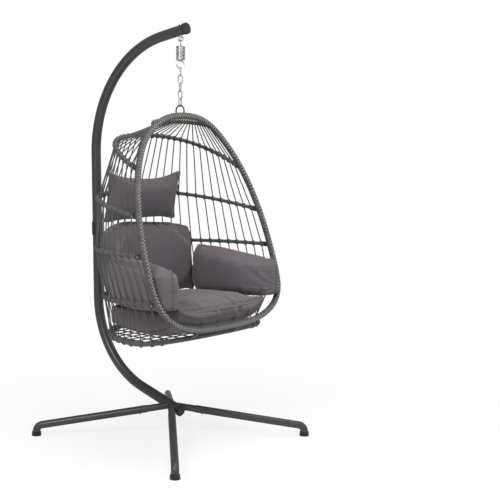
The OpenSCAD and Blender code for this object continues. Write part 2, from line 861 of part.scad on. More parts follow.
module hoop_bolts() {
    head_h = 3.5;
    head_r = 5;
    color(bright_zinc)
        basket_place()
            at_hoop_ends()
                translate([0, 0, socket_bolt_at])
                    rotate([90, 0, 0]) {
                        cylinder(h = 2 * socket_r + 2, r = hoop_bolt_d / 2, center = true);
                        translate([0, 0, -socket_r - head_h]) cylinder(h = head_h, r = head_r);
                        translate([0, 0, socket_r]) cylinder(h = head_h, r = head_r, $fn = 6);
                    }
}

// ---- cords -----------------------------------------------------------------------------------

// One taut length of cord between two bars, short of their middles.
module cord_length(from, to) {
    v = unit(to - from);
    rod(from + cord_inset * v, to - cord_inset * v, cord_r);
}

// Upright cords join two bars at even steps, with a free length left at both ends of each bar.
function cord_spot(p, free, i) =
    let (run = run_lengths(p), whole = run[len(run) - 1])
    point_along(p, (free + (whole - 2 * free) * i / (cord_count - 1)) / whole);

module net(top_path, top_free, low_path, low_free) {
    color(dark_cord)
        basket_place()
            for (i = [0:cord_count - 1])
                cord_length(cord_spot(top_path, top_free, i), cord_spot(low_path, low_free, i));
}

module crown_net() { net(crown_path, crown_free, hoop_paths[0], hoop_free); }
module upper_net() { net(hoop_paths[0], hoop_free, hoop_paths[1], hoop_free); }
module middle_net() { net(hoop_paths[1], hoop_free, hoop_paths[2], hoop_free); }
module lower_net() { net(hoop_paths[2], hoop_free, hoop_paths[3], hoop_free); }
module base_net() { net(hoop_paths[3], hoop_free, base_path, 0); }

// Cords under the seat run from the front of the bottom hoop to its rear.
module seat_net() {
    span = bottom_hoop_w / 2 - 55;
    color(dark_cord)
        basket_place()
            for (i = [0:seat_cord_count - 1])
                let (
                    x = -span + 2 * span * i / (seat_cord_count - 1),
                    share = abs(x) / (bottom_hoop_w / 2),
                    front = -bottom_hoop_wide_front - bottom_hoop_front * pow(1 - pow(share, 2.8), 1 / 2.8),
                    rear = -bottom_hoop_wide_front + bottom_hoop_rear * sqrt(1 - share * share)
                )
                cord_length([x, front, -bottom_hoop_drop], [x, rear, -bottom_hoop_drop]);
}

// ---- cushions --------------------------------------------------------------------------------

pad_cells = 14;

// A padded piece in its own plane: two crowned faces and an edge band between them.
// shape holds half width, half height, half thickness, half edge, corner rounding, side pull, crown power.
function pad_point(shape, u, v, s) =
    let (
        x = shape[0] * u * (1 - shape[4] * pow(v, 4)) * (1 - shape[5] * (1 - v * v)),
        y = shape[1] * v * (1 - shape[4] * pow(u, 4)) * (1 - shape[5] * (1 - u * u)),
        full = sqrt(max(0, (1 - pow(abs(u), shape[6])) * (1 - pow(abs(v), shape[6])))),
        h = shape[3] + (shape[2] - shape[3]) * full
    )
    [x, y, s * h];

module pad(shape, bend) {
    n = pad_cells;
    m = n + 1;
    knots = [for (i = [0:n]) sin(90 * (2 * i / n - 1))];
    grid = [
        for (s = [1, -1], j = [0:n], i = [0:n])
            bend(pad_point(shape, knots[i], knots[j], s))
    ];
    function at(side, i, j) = side * m * m + j * m + i;
    top = [
        for (j = [0:n - 1], i = [0:n - 1])
            each [[at(0, i, j), at(0, i, j + 1), at(0, i + 1, j + 1)],
                [at(0, i, j), at(0, i + 1, j + 1), at(0, i + 1, j)]]
    ];
    low = [
        for (j = [0:n - 1], i = [0:n - 1])
            each [[at(1, i, j), at(1, i + 1, j + 1), at(1, i, j + 1)],
                [at(1, i, j), at(1, i + 1, j), at(1, i + 1, j + 1)]]
    ];
    ring = concat(
        [for (i = [0:n - 1]) [i, 0]],
        [for (j = [0:n - 1]) [n, j]],
        [for (i = [n:-1:1]) [i, n]],
        [for (j = [n:-1:1]) [0, j]]
    );
    band = [
        for (q = [0:len(ring) - 1])
            let (
                a = ring[q],
                b = ring[(q + 1) % len(ring)],
                a0 = at(0, a[0], a[1]),
                b0 = at(0, b[0], b[1]),
                a1 = at(1, a[0], a[1]),
                b1 = at(1, b[0], b[1])
            )
            each [[a0, b0, b1], [a0, b1, a1]]
    ];
    polyhedron(points = grid, faces = concat(top, low, band));
}

// The seat cushion lies on the cords under the seat and lifts at the front, over the rim's foot.
cushion_gap = 0.3;
seat_low = -bottom_hoop_drop + cord_r + cushion_gap;
seat_top = seat_low + seat_t;

module seat_cushion() {
    front_lift = 44;
    corner_lift = 26;
    color(grey_cloth)
        basket_place()
            translate([0, -seat_front, seat_low + seat_t / 2])
                pad([seat_w / 2, seat_depth / 2, seat_t / 2, 36, 0.06, 0.02, 4],
                    function (p)
                        let (
                            f = max(0, -p[1] / (seat_depth / 2)),
                            u = p[0] / (seat_w / 2),
                            up = front_lift * f * f * (p[2] < 0 ? 1 : 0.2)
                        )
                        [p[0], p[1], p[2] + up + corner_lift * pow(u * f, 4)]);
}

// The back cushion stands on the seat, leans against hoop 3, curls forwards and has an arched top.
back_lean = 7;
back_mid_y = hoop_3_reach - hoop_r - back_t / 2 - 6.6;
back_mid_z = seat_top - 6 + back_h / 2;

module back_cushion() {
    curl = 66;
    arch = 34;
    color(grey_cloth)
        basket_place()
            translate([0, back_mid_y, back_mid_z])
                rotate([90 - back_lean, 0, 0])
                    pad([back_w / 2, back_h / 2, back_t / 2, 28, 0.1, 0.03, 3],
                        function (p)
                            let (u = p[0] / (back_w / 2), v = p[1] / (back_h / 2))
                            [p[0], p[1] - (v > 0 ? arch * u * u * v : 0), p[2] + curl * u * u]);
}

// A side cushion stands on the seat's edge inside the net, falls towards the front and is rounded there.
side_mid_x = rim_half_at(hoop_4_drop) - hoop_r - 14.8 - side_t / 2;
side_mid_y = -seat_front - 14;
side_mid_z = seat_top - 26 + side_h / 2;

module side_pad() {
    slope = 24;
    rear_in = 44;
    front_out = 30;
    toe_lift = 44;
    color(grey_cloth)
        basket_place()
            translate([side_mid_x, side_mid_y, side_mid_z])
                rotate([0, 0, 90]) rotate([90, 0, 0])
                    pad([side_len / 2, side_h / 2, side_t / 2, 24, 0.12, 0.02, 3],
                        function (p)
                            let (
                                u = p[0] / (side_len / 2),
                                v = p[1] / (side_h / 2),
                                up = v < 0 && u < 0.6 ? toe_lift * v * v * pow(0.6 - u, 2) / 2.56 : 0
                            )
                            [p[0], p[1] + slope * u + up, p[2] + (u < 0 ? front_out : -rear_in) * u * u]);
}

module side_cushion_right() { side_pad(); }
module side_cushion_left() { mirror([1, 0, 0]) side_pad(); }

// The head pillow hangs in front of hoop 2, its sides drawn in between its corners.
pillow_mid_y = 240;
pillow_mid_drop = 378;
pillow_lean = 9;
module head_pillow() {
    top_sag = 22;
    color(grey_cloth)
        basket_place()
            translate([0, pillow_mid_y, -pillow_mid_drop])
                rotate([90 + pillow_lean, 0, 0])
                    pad([pillow_w / 2, pillow_h / 2, pillow_t / 2, 3, 0, 0.06, 2.2],
                        function (p)
                            let (u = p[0] / (pillow_w / 2), v = p[1] / (pillow_h / 2))
                            [p[0], p[1] - top_sag * (1 - u * u) * max(0, v), p[2]]);
}

// ---- tie strings -----------------------------------------------------------------------------

// A string is sewn into the pillow's side seam, goes once round hoop 2 and ends in a small bow loop.
tie_route = [
    [223, 240, -374], [231, 244, -373], [239, 250, -370], [247, 259, -366.5],
    [254.9, 270.3, -365.5], [259.3, 276.8, -368.8], [261.2, 279.5, -376.7], [259.3, 276.8, -384.6],
    [254.9, 270.3, -387.9], [250.4, 263.8, -384.6], [247.5, 259, -378.5], [246, 253, -372],
    [248, 250.5, -363], [253, 251, -354], [259, 253, -344.5], [266, 256, -336.5], [273, 260, -333],
    [278, 264, -337], [277, 264, -345], [271, 261, -354], [264, 258, -362], [257, 255.5, -369]
];
tie_sides = 8;

module pillow_tie() {
    color(black_plastic)
        basket_place() swept_bar(tie_route, tie_d / 2, tie_sides, false, [0.83, -0.56, 0.12]);
}

module pillow_tie_right() { pillow_tie(); }
module pillow_tie_left() { mirror([1, 0, 0]) pillow_tie(); }

// ---- the nodes -------------------------------------------------------------------------------

lower_pole();
upper_pole();
pole_joiner();
joiner_bolt();
pole_bumper();
pole_top_cap();
pole_bottom_cap();
hub_cross();
leg_front_left();
leg_front_right();
leg_rear_left();
leg_rear_right();
foot_front_left();
foot_front_right();
foot_rear_left();
foot_rear_right();
leg_screws();
eyebolt();
eyebolt_nuts();
spring_top_hook();
spring_coil();
spring_bottom_hook();
chain_link_1();
chain_link_2();
chain_link_3();
chain_link_4();
chain_link_5();
hanger_loop();
front_rim();
crown_bar();
hoop_1();
hoop_2();
hoop_3();
hoop_4();
bottom_hoop();
seat_struts();
hoop_sockets();
hoop_bolts();
crown_net();
upper_net();
middle_net();
lower_net();
base_net();
seat_net();
seat_cushion();
back_cushion();
side_cushion_left();
side_cushion_right();
head_pillow();
pillow_tie_left();
pillow_tie_right();
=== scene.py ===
"""Dresses the hanging egg chair: wound basket, cord net, cushions, hanger and stand."""

import json
import logging
import math
from dataclasses import dataclass, field
from enum import Enum
from typing import Any, Callable, Sequence

import bmesh
import bpy
import numpy as np
from mathutils import Matrix, Vector
from mathutils.bvhtree import BVHTree
from mathutils.kdtree import KDTree


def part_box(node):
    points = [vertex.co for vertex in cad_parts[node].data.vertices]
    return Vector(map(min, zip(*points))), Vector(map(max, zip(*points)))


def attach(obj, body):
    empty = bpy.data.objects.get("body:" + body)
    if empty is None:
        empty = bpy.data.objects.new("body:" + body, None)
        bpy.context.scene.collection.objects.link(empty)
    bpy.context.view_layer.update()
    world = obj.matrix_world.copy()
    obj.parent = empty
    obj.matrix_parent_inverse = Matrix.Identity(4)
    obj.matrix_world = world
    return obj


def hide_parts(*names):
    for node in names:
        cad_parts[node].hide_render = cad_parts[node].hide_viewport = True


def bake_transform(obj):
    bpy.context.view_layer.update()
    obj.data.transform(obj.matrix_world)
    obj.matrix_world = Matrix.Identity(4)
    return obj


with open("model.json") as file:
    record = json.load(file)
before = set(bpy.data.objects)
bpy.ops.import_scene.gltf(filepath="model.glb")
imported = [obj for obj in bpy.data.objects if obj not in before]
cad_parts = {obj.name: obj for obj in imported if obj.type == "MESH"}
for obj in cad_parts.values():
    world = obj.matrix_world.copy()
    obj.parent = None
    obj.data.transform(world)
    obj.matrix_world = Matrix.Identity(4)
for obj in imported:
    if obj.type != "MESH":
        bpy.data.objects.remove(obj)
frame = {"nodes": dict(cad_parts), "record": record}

logging.basicConfig(level=logging.INFO, format="%(message)s")
LOG = logging.getLogger("egg_chair")

Colour = tuple[float, float, float]
Points = np.ndarray
MM = 0.001


def tone(red: int, green: int, blue: int) -> Colour:
    """The linear colour for three 8-bit screen values."""
    return tuple(
        v / 12.92 if v <= 0.04045 else ((v + 0.055) / 1.055) ** 2.4
        for v in (red / 255, green / 255, blue / 255)
    )


def shade(colour: Colour, factor: float) -> Colour:
    """The same hue, darker or lighter by a factor."""
    return tuple(min(1.0, c * factor) for c in colour)


# ---- shader maths ---------------------------------------------------------------------------


class Wire:
    """A shader socket that Python's operators work on, each adding a Math node."""

    def __init__(self, bench: "Bench", socket: bpy.types.NodeSocket) -> None:
        """Keeps the socket and the bench that adds its nodes."""
        self.bench = bench
        self.socket = socket

    def _math(self, operation: str, first: Any, second: Any = None) -> "Wire":
        """One Math node on two values or wires.

        Args:
            operation: the Math node's operation.
            first: its first value.
            second: its second value, where it has one.

        Returns:
            The node's result.
        """
        inputs = {0: first} if second is None else {0: first, 1: second}
        return self.bench.node("ShaderNodeMath", {"operation": operation}, inputs)

    def __add__(self, other: Any) -> "Wire":
        """self + other."""
        return self._math("ADD", self, other)

    __radd__ = __add__

    def __sub__(self, other: Any) -> "Wire":
        """self - other."""
        return self._math("SUBTRACT", self, other)

    def __rsub__(self, other: Any) -> "Wire":
        """other - self."""
        return self._math("SUBTRACT", other, self)

    def __mul__(self, other: Any) -> "Wire":
        """self * other."""
        return self._math("MULTIPLY", self, other)

    __rmul__ = __mul__

    def __truediv__(self, other: Any) -> "Wire":
        """self / other."""
        return self._math("DIVIDE", self, other)

    def __rtruediv__(self, other: Any) -> "Wire":
        """other / self."""
        return self._math("DIVIDE", other, self)

    def __pow__(self, other: Any) -> "Wire":
        """self to the power of other."""
        return self._math("POWER", self, other)

    def __mod__(self, other: Any) -> "Wire":
        """The rest of self on division by other, never negative."""
        return self._math("FLOORED_MODULO", self, other)

    def floor(self) -> "Wire":
        """The whole number below."""
        return self._math("FLOOR", self)

    def sine(self) -> "Wire":
        """The sine of radians."""
        return self._math("SINE", self)

    def size(self) -> "Wire":
        """The absolute value."""
        return self._math("ABSOLUTE", self)


class Bench:
    """Makes one material or world, one node at a time."""

    def __init__(self, name: str, world: bool = False) -> None:
        """Starts an empty material or world.

        Args:
            name: its name.
            world: whether it is a world.
        """
        store = bpy.data.worlds if world else bpy.data.materials
        self.material = store.new(name)
        self.material.use_nodes = True
        self.tree = self.material.node_tree
        self.tree.nodes.clear()

    def node(
        self,
        kind: str,
        settings: dict[str, Any] | None = None,
        inputs: dict[Any, Any] | None = None,
        output: Any = 0,
    ) -> Wire:
        """Adds a node, sets it up first and then fills its sockets.

        Args:
            kind: Blender's name of the node type.
            settings: its properties; "stops" holds a ramp's places and colours.
            inputs: values or wires, by the socket's name or number.
            output: the output socket that is handed on.

        Returns:
            The output as a wire.
        """
        made = self.tree.nodes.new(kind)
        for key, value in (settings or {}).items():
            if key == "stops":
                ramp = made.color_ramp
                while len(ramp.elements) < len(value):
                    ramp.elements.new(0.5)
                for element, (place, colour) in zip(ramp.elements, value):
                    element.position = place
                    element.color = (*colour, 1)
            else:
                setattr(made, key, value)
        for key, value in (inputs or {}).items():
            socket = made.inputs[key]
            if isinstance(value, Wire):
                self.tree.links.new(value.socket, socket)
            elif socket.type == "RGBA" and len(value) == 3:
                socket.default_value = (*value, 1)
            else:
                socket.default_value = value
        return Wire(self, made.outputs[output] if made.outputs else None)

    def place(self) -> Wire:
        """The point on the piece, in metres."""
        return self.node("ShaderNodeTexCoord", output="Object")

    def lay(self) -> tuple[Wire, Wire]:
        """How far along a wound bar a point lies, in metres, and its turn round it from 0 to 1."""
        parts = self.node("ShaderNodeUVMap", {"uv_map": "Lay"})
        split = self.node("ShaderNodeSeparateXYZ", inputs={0: parts})
        return split, Wire(self, split.socket.node.outputs[1])

    def axes(self) -> tuple[Wire, Wire, Wire]:
        """The point's three coordinates."""
        split = self.node("ShaderNodeSeparateXYZ", inputs={0: self.place()})
        outputs = split.socket.node.outputs
        return tuple(Wire(self, outputs[k]) for k in range(3))

    def noise(self, scale: float, detail: float = 3.0, rough: float = 0.55) -> Wire:
        """Soft random grain.

        Args:
            scale: grains to the metre.
            detail: octaves.
            rough: how strongly the finer octaves show.

        Returns:
            Values round 0.5.
        """
        inputs = {"Vector": self.place(), "Scale": scale, "Detail": detail, "Roughness": rough}
        return self.node("ShaderNodeTexNoise", inputs=inputs)

    def held(self, name: str) -> Wire:
        """A value that the mesh carries at each point."""
        return self.node("ShaderNodeAttribute", {"attribute_name": name}, output="Fac")

    def blend(self, first: Any, second: Any, share: Any) -> Wire:
        """A colour between two.

        Args:
            first: the colour at share 0.
            second: the colour at share 1.
            share: a value or wire.

        Returns:
            The mixed colour.
        """
        made = self.tree.nodes.new("ShaderNodeMix")
        made.data_type = "RGBA"
        made.clamp_factor = True
        for key, value in ((0, share), (6, first), (7, second)):
            if isinstance(value, Wire):
                self.tree.links.new(value.socket, made.inputs[key])
            else:
                made.inputs[key].default_value = value if key == 0 else (*value, 1)
        return Wire(self, made.outputs[2])

    def relief(self, height: Wire, depth: float, strength: float = 1.0) -> Wire:
        """A bumped normal.

        Args:
            height: 0 to 1.
            depth: metres from 0 to 1.
            strength: how much of it shows.

        Returns:
            The normal.
        """
        inputs = {"Height": height, "Distance": depth, "Strength": strength}
        return self.node("ShaderNodeBump", inputs=inputs, output="Normal")

    def finish(self, inputs: dict[str, Any]) -> bpy.types.Material:
        """Closes the material with one Principled shader.

        Args:
            inputs: its sockets' values or wires.

        Returns:
            The material.
        """
        shader = self.node("ShaderNodeBsdfPrincipled", inputs=inputs)
        self.node("ShaderNodeOutputMaterial", inputs={"Surface": shader})
        return self.material


# ---- finishes -------------------------------------------------------------------------------


@dataclass(frozen=True)
class PowderCoat:
    """Satin baked paint with a fine orange peel and faint dust."""

    name: str
    colour: Colour
    roughness: float = 0.36
    peel: float = 0.00016

    def make(self) -> bpy.types.Material:
        """The paint as a material."""
        bench = Bench(self.name)
        cloud = bench.noise(5, 4)
        grain = bench.noise(700, 2)
        dust = bench.noise(60, 5, 0.7) ** 3
        base = bench.blend(shade(self.colour, 0.86), shade(self.colour, 1.14), cloud)
        base = bench.blend(base, shade(self.colour, 2.2), dust * 0.35)
        return bench.finish(
            {
                "Base Color": base,
                "Roughness": self.roughness + (cloud - 0.5) * 0.2 + dust * 0.25,
                "Specular IOR Level": 0.5,
                "Normal": bench.relief(grain, self.peel, 0.5),
            }
        )


@dataclass(frozen=True)
class BrightZinc:
    """Bright plated steel, faintly clouded and scratched."""

    name: str
    colour: Colour

    def make(self) -> bpy.types.Material:
        """The plating as a material."""
        bench = Bench(self.name)
        cloud = bench.noise(90, 4)
        scratch = bench.noise(1500, 2, 0.8)
        base = bench.blend(shade(self.colour, 0.45), shade(self.colour, 1.05), cloud)
        return bench.finish(
            {
                "Base Color": base,
                "Metallic": 1.0,
                "Roughness": 0.2 + cloud * 0.16 + scratch * 0.06,
                "Normal": bench.relief(scratch, 0.00005, 0.5),
            }
        )


@dataclass(frozen=True)
class MouldedPlastic:
    """Moulded plastic or rubber with a fine spark-eroded grain."""

    name: str
    colour: Colour
    roughness: float = 0.5

    def make(self) -> bpy.types.Material:
        """The plastic as a material."""
        bench = Bench(self.name)
        grain = bench.noise(1200, 2)
        cloud = bench.noise(25, 4)
        base = bench.blend(shade(self.colour, 0.8), shade(self.colour, 1.3), cloud)
        return bench.finish(
            {
                "Base Color": base,
                "Roughness": self.roughness + (cloud - 0.5) * 0.16,
                "Normal": bench.relief(grain, 0.00012, 0.6),
            }
        )


@dataclass(frozen=True)
class Wicker:
    """Flat resin strip wound round a tube, each turn a little different; painted shade in the gaps
    between turns, and the raised woven cells lighter, partly their own paler strip and partly a
    painted highlight.
    """

    name: str
    colour: Colour
    pitch: float

    def make(self) -> bpy.types.Material:
        """The strip as a material."""
        bench = Bench(self.name)
        run, turn = bench.lay()
        turns = run / self.pitch
        within = turns % 1.0
        each = ((turns.floor() * 12.9898).sine() * 43758.5453) % 1.0
        gap = ((within - 0.5).size() * 2.0) ** 5
        grain = bench.node(
            "ShaderNodeTexNoise",
            inputs={
                "Vector": bench.node(
                    "ShaderNodeCombineXYZ", inputs={0: run * 1800.0, 1: turn * 40.0}
                ),
                "Scale": 1.0,
                "Detail": 3.0,
            },
        )
        high = bench.held("high")
        base = bench.blend(shade(self.colour, 0.3), shade(self.colour, 0.75), each)
        # The raised woven cells, by the mesh's high mark, are lightened: partly their paler strip,
        # partly a painted highlight on their crest.
        base = bench.blend(base, shade(self.colour, 3.0), high)
        base = bench.blend(base, shade(self.colour, 0.4), grain * 0.5)
        # Painted shade: the gaps between turns are darkened nearly to black.
        base = bench.blend(base, shade(self.colour, 0.06), gap)
        return bench.finish(
            {
                "Base Color": base,
                "Roughness": 0.42 + grain * 0.22,
                "Specular IOR Level": 0.45,
                "Normal": bench.relief(grain - gap, 0.0005, 0.7),
            }
        )


@dataclass(frozen=True)
class WoundCord:
    """Braided polyester cord, seen along its own run, with painted shade between its strands and a
    painted highlight on each winding's crest.
    """

    name: str
    colour: Colour
    pitch: float
    slant: float = 1.0

    def make(self) -> bpy.types.Material:
        """The cord as a material."""
        bench = Bench(self.name)
        run, turn = bench.lay()
        turns = run / self.pitch
        left = ((turns + turn * self.slant) * math.tau).sine()
        right = ((turns - turn * self.slant) * math.tau).sine()
        braid = (left * right) * 0.5 + 0.5
        cloud = bench.noise(40, 4)
        # Painted shade and highlight: the braid pattern darkens the cord between its strands and
        # lightens their crowns.
        base = bench.blend(shade(self.colour, 0.3), shade(self.colour, 1.6), braid)
        base = bench.blend(base, shade(self.colour, 2.2), cloud * 0.35)
        # Painted highlight on the crest of each turn of cord wound round a hoop, by the mesh's high
        # mark.
        base = bench.blend(base, shade(self.colour, 2.0), bench.held("high") * 0.45)
        return bench.finish(
            {
                "Base Color": base,
                "Roughness": 0.62 + braid * 0.12,
                "Sheen Weight": 0.15,
                "Sheen Roughness": 0.5,
                "Normal": bench.relief(braid, 0.0005, 0.8),
            }
        )


@dataclass(frozen=True)
class WovenCloth:
    """Tightly woven polyester in a warm dark grey, with a soft sheen and painted shade along the
    seams' grooves.
    """

    name: str
    colour: Colour
    thread: float = 0.0013

    def make(self) -> bpy.types.Material:
        """The cloth as a material."""
        bench = Bench(self.name)
        across, along, up = bench.axes()
        rate = math.tau / self.thread
        weave = (
            ((across + up * 0.5) * rate).sine() * ((along + up * 0.5) * rate).sine()
        ) * 0.5 + 0.5
        thread = bench.noise(900, 2, 0.7)
        cloud = bench.noise(4, 4)
        crumple = bench.noise(26, 4, 0.5)
        seam = bench.held("seam")
        base = bench.blend(shade(self.colour, 0.84), shade(self.colour, 1.16), cloud)
        base = bench.blend(base, shade(self.colour, 0.6), (1.0 - thread) * weave * 0.6)
        base = bench.blend(base, shade(self.colour, 1.5), thread * 0.3)
        # Painted shade: the cloth is darkened along the seams, where their grooves lie.
        base = bench.blend(base, shade(self.colour, 0.22), seam)
        height = weave * 0.25 + thread * 0.25 + crumple * 0.5
        return bench.finish(
            {
                "Base Color": base,
                "Roughness": 0.86 + (thread - 0.5) * 0.1,
                "Specular IOR Level": 0.25,
                "Sheen Weight": 0.22,
                "Sheen Roughness": 0.45,
                "Normal": bench.relief(height, 0.0016, 0.55),
            }
        )


WIND_PITCH = 8.0 * MM


class Slot(Enum):
    """The part's material slots, each with its finish."""

    POWDER = ("powder_coat", PowderCoat("satin_charcoal_powder", tone(51, 51, 55)))
    ZINC = ("bright_zinc", BrightZinc("bright_zinc_plate", tone(205, 208, 213)))
    PLASTIC = ("black_plastic", MouldedPlastic("black_moulding", tone(17, 17, 18)))
    STEEL = ("black_steel", PowderCoat("black_painted_steel", tone(36, 36, 38), 0.38))
    WICKER = ("grey_wicker", Wicker("grey_wicker_strip", tone(103, 102, 98), WIND_PITCH))
    CORD = ("dark_cord", WoundCord("dark_braided_cord", tone(62, 61, 62), 4.2 * MM))
    CLOTH = ("grey_cloth", WovenCloth("warm_grey_cloth", tone(94, 88, 92)))
    TIE = ("tie_string", WoundCord("black_tie_string", tone(36, 33, 35), 3.0 * MM))

    @property
    def key(self) -> str:
        """The slot's name in the part."""
        return self.value[0]

    def material(self) -> bpy.types.Material:
        """The slot's finish, made once."""
        found = bpy.data.materials.get(self.value[1].name)
        return found or self.value[1].make()


# ---- routes on the basket, measured from the chain line and the rim's crown -----------------


@dataclass
class Basket:
    """The basket's shape: an egg-shaped rim, a crown bar, four hoops and a D-shaped bottom hoop."""

    chain_y: float = -0.0789617
    crown_z: float = 1.526482
    rim_w: float = 0.864
    rim_h: float = 0.953
    wide_drop: float = 0.659
    crown_front: float = 0.025
    rake: float = 0.267
    rake_ease: float = 0.150
    rim_r: float = 0.015
    crown_r: float = 0.013
    crown_half: float = 0.190
    crown_mid_drop: float = 0.024
    hoop_r: float = 0.009
    hoops: tuple[tuple[float, float, float], ...] = (
        (0.244, 0.091, 0.230),
        (0.446, 0.366, 0.335),
        (0.612, 0.617, 0.350),
        (0.815, 0.842, 0.310),
    )
    bottom_r: float = 0.012
    bottom_w: float = 0.830
    bottom_drop: float = 0.997
    bottom_wide_front: float = 0.115
    bottom_front: float = 0.100
    bottom_rear: float = 0.375
    cord_r: float = 0.00275
    cord_count: int = 32
    seat_cords: int = 13
    hoop_free: float = 0.05075
    crown_free: float = 0.0205

    @property
    def seat_low(self) -> float:
        """The height at which the seat cushion rests on its cords."""
        return -self.bottom_drop + self.cord_r + 0.0003

    def placed(self, points: Points) -> Points:
        """The points moved from the basket's own origin to where it hangs."""
        return np.asarray(points, float) + (0.0, self.chain_y, self.crown_z)

    def ramp(self, drop: Points) -> Points:
        """How far the rim has come forwards at a drop below its crown."""
        d = np.clip(drop, 0, self.rim_h)
        ease, slope = self.rake_ease, self.rake / (self.rim_h - self.rake_ease)
        start = slope * d**2 / (2 * ease)
        middle = slope * (d - ease / 2)
        end = self.rake - slope * (self.rim_h - d) ** 2 / (2 * ease)
        return np.where(d < ease, start, np.where(d < self.rim_h - ease, middle, end))

    def half_at(self, drop: Points) -> Points:
        """The rim's half width at a drop below its crown."""
        d = np.asarray(drop, float)
        up = 1 - np.clip((self.wide_drop - d) / self.wide_drop, 0, 1) ** 2
        low = 1 - np.clip((d - self.wide_drop) / (self.rim_h - self.wide_drop), 0, 1) ** 3.3
        return self.rim_w / 2 * np.where(d < self.wide_drop, up ** (1 / 2.4), low ** (1 / 3))

    def rim(self, steps: int = 1440) -> Points:
        """The rim's closed route, from its widest place on the right up over the crown."""
        a = np.linspace(0, math.tau, steps, endpoint=False)
        s, c = np.sin(a), np.cos(a)
        up = s >= 0
        x = np.sign(c) * self.rim_w / 2 * np.abs(c) ** np.where(up, 2 / 2.4, 2 / 3)
        low = self.rim_h - self.wide_drop
        h = np.where(up, self.wide_drop, -low) * np.abs(s) ** np.where(up, 1.0, 2 / 3.3)
        d = self.wide_drop - h
        return np.stack([x, -self.crown_front - self.ramp(d), -d], 1)

    def hoop(self, k: int, steps: int = 720) -> Points:
        """Hoop k's route from its left end on the rim round the back to its right end."""
        drop, back_drop, reach = self.hoops[k]
        w = float(self.half_at(drop))
        y0 = -self.crown_front - float(self.ramp(drop))
        a = np.linspace(0, math.pi, steps + 1)
        c, s = np.cos(a), np.abs(np.sin(a)) ** (2 / 2.5)
        x = -np.sign(c) * w * np.abs(c) ** (2 / 2.5)
        return np.stack([x, y0 + (reach - y0) * s, -drop + (drop - back_drop) * s], 1)

    def crown(self, steps: int = 360) -> Points:
        """The crown bar's route behind the rim's crown."""
        drops = np.linspace(0, self.wide_drop, 4001)
        end = float(drops[np.searchsorted(self.half_at(drops), self.crown_half)])
        y0 = -self.crown_front - float(self.ramp(end))
        a = np.linspace(0, math.pi, steps + 1)
        s = np.clip(np.sin(a), 0, 1) ** 0.8
        y = y0 + (self.crown_front - y0) * s
        z = -end + (end - self.crown_mid_drop) * s
        return np.stack([-self.crown_half * np.cos(a), y, z], 1)

    def bottom(self, angles: Points) -> Points:
        """Points of the bottom hoop at angles in degrees."""
        a = np.radians(angles)
        s, c = np.sin(a), np.cos(a)
        power = np.where(s > 0, 2.0, 2.8)
        depth = np.where(s > 0, self.bottom_rear, self.bottom_front)
        x = np.sign(c) * self.bottom_w / 2 * np.abs(c) ** (2 / power)
        y = -self.bottom_wide_front + np.sign(s) * depth * np.abs(s) ** (2 / power)
        return np.stack([x, y, np.full_like(x, -self.bottom_drop)], 1)

    def spots(self, route: Points, free: float) -> Points:
        """The places along a route where the upright cords meet it."""
        run = lengths(route)
        at = free + (run[-1] - 2 * free) * np.arange(self.cord_count) / (self.cord_count - 1)
        return along(route, at)

    def rows(self) -> list[Points]:
        """The cords' places on the crown bar, the four hoops and the bottom hoop."""
        base = self.bottom(np.linspace(228, -48, 721))
        rows = [self.spots(self.crown(), self.crown_free)]
        rows += [self.spots(self.hoop(k), self.hoop_free) for k in range(4)]
        return rows + [self.spots(base, 0.0)]


BASKET = Basket()


def lengths(route: Points) -> Points:
    """The length run at each point of a route."""
    return np.concatenate([[0], np.cumsum(np.linalg.norm(np.diff(route, axis=0), axis=1))])


def along(route: Points, at: Points) -> Points:
    """The points of a route at given lengths along it."""
    run = lengths(route)
    return np.stack([np.interp(at, run, route[:, k]) for k in range(3)], 1)


def unit(v: Points) -> Points:
    """Each row at length 1."""
    return v / np.maximum(np.linalg.norm(v, axis=-1, keepdims=True), 1e-12)


def scatter(count: int, seed: int) -> Points:
    """Steady random numbers from 0 to 1."""
    return np.random.default_rng(seed).random(count)


# ---- pieces made along a route ---------------------------------------------------------------

Profile = Callable[[Points, Points], tuple[Points, Points]]


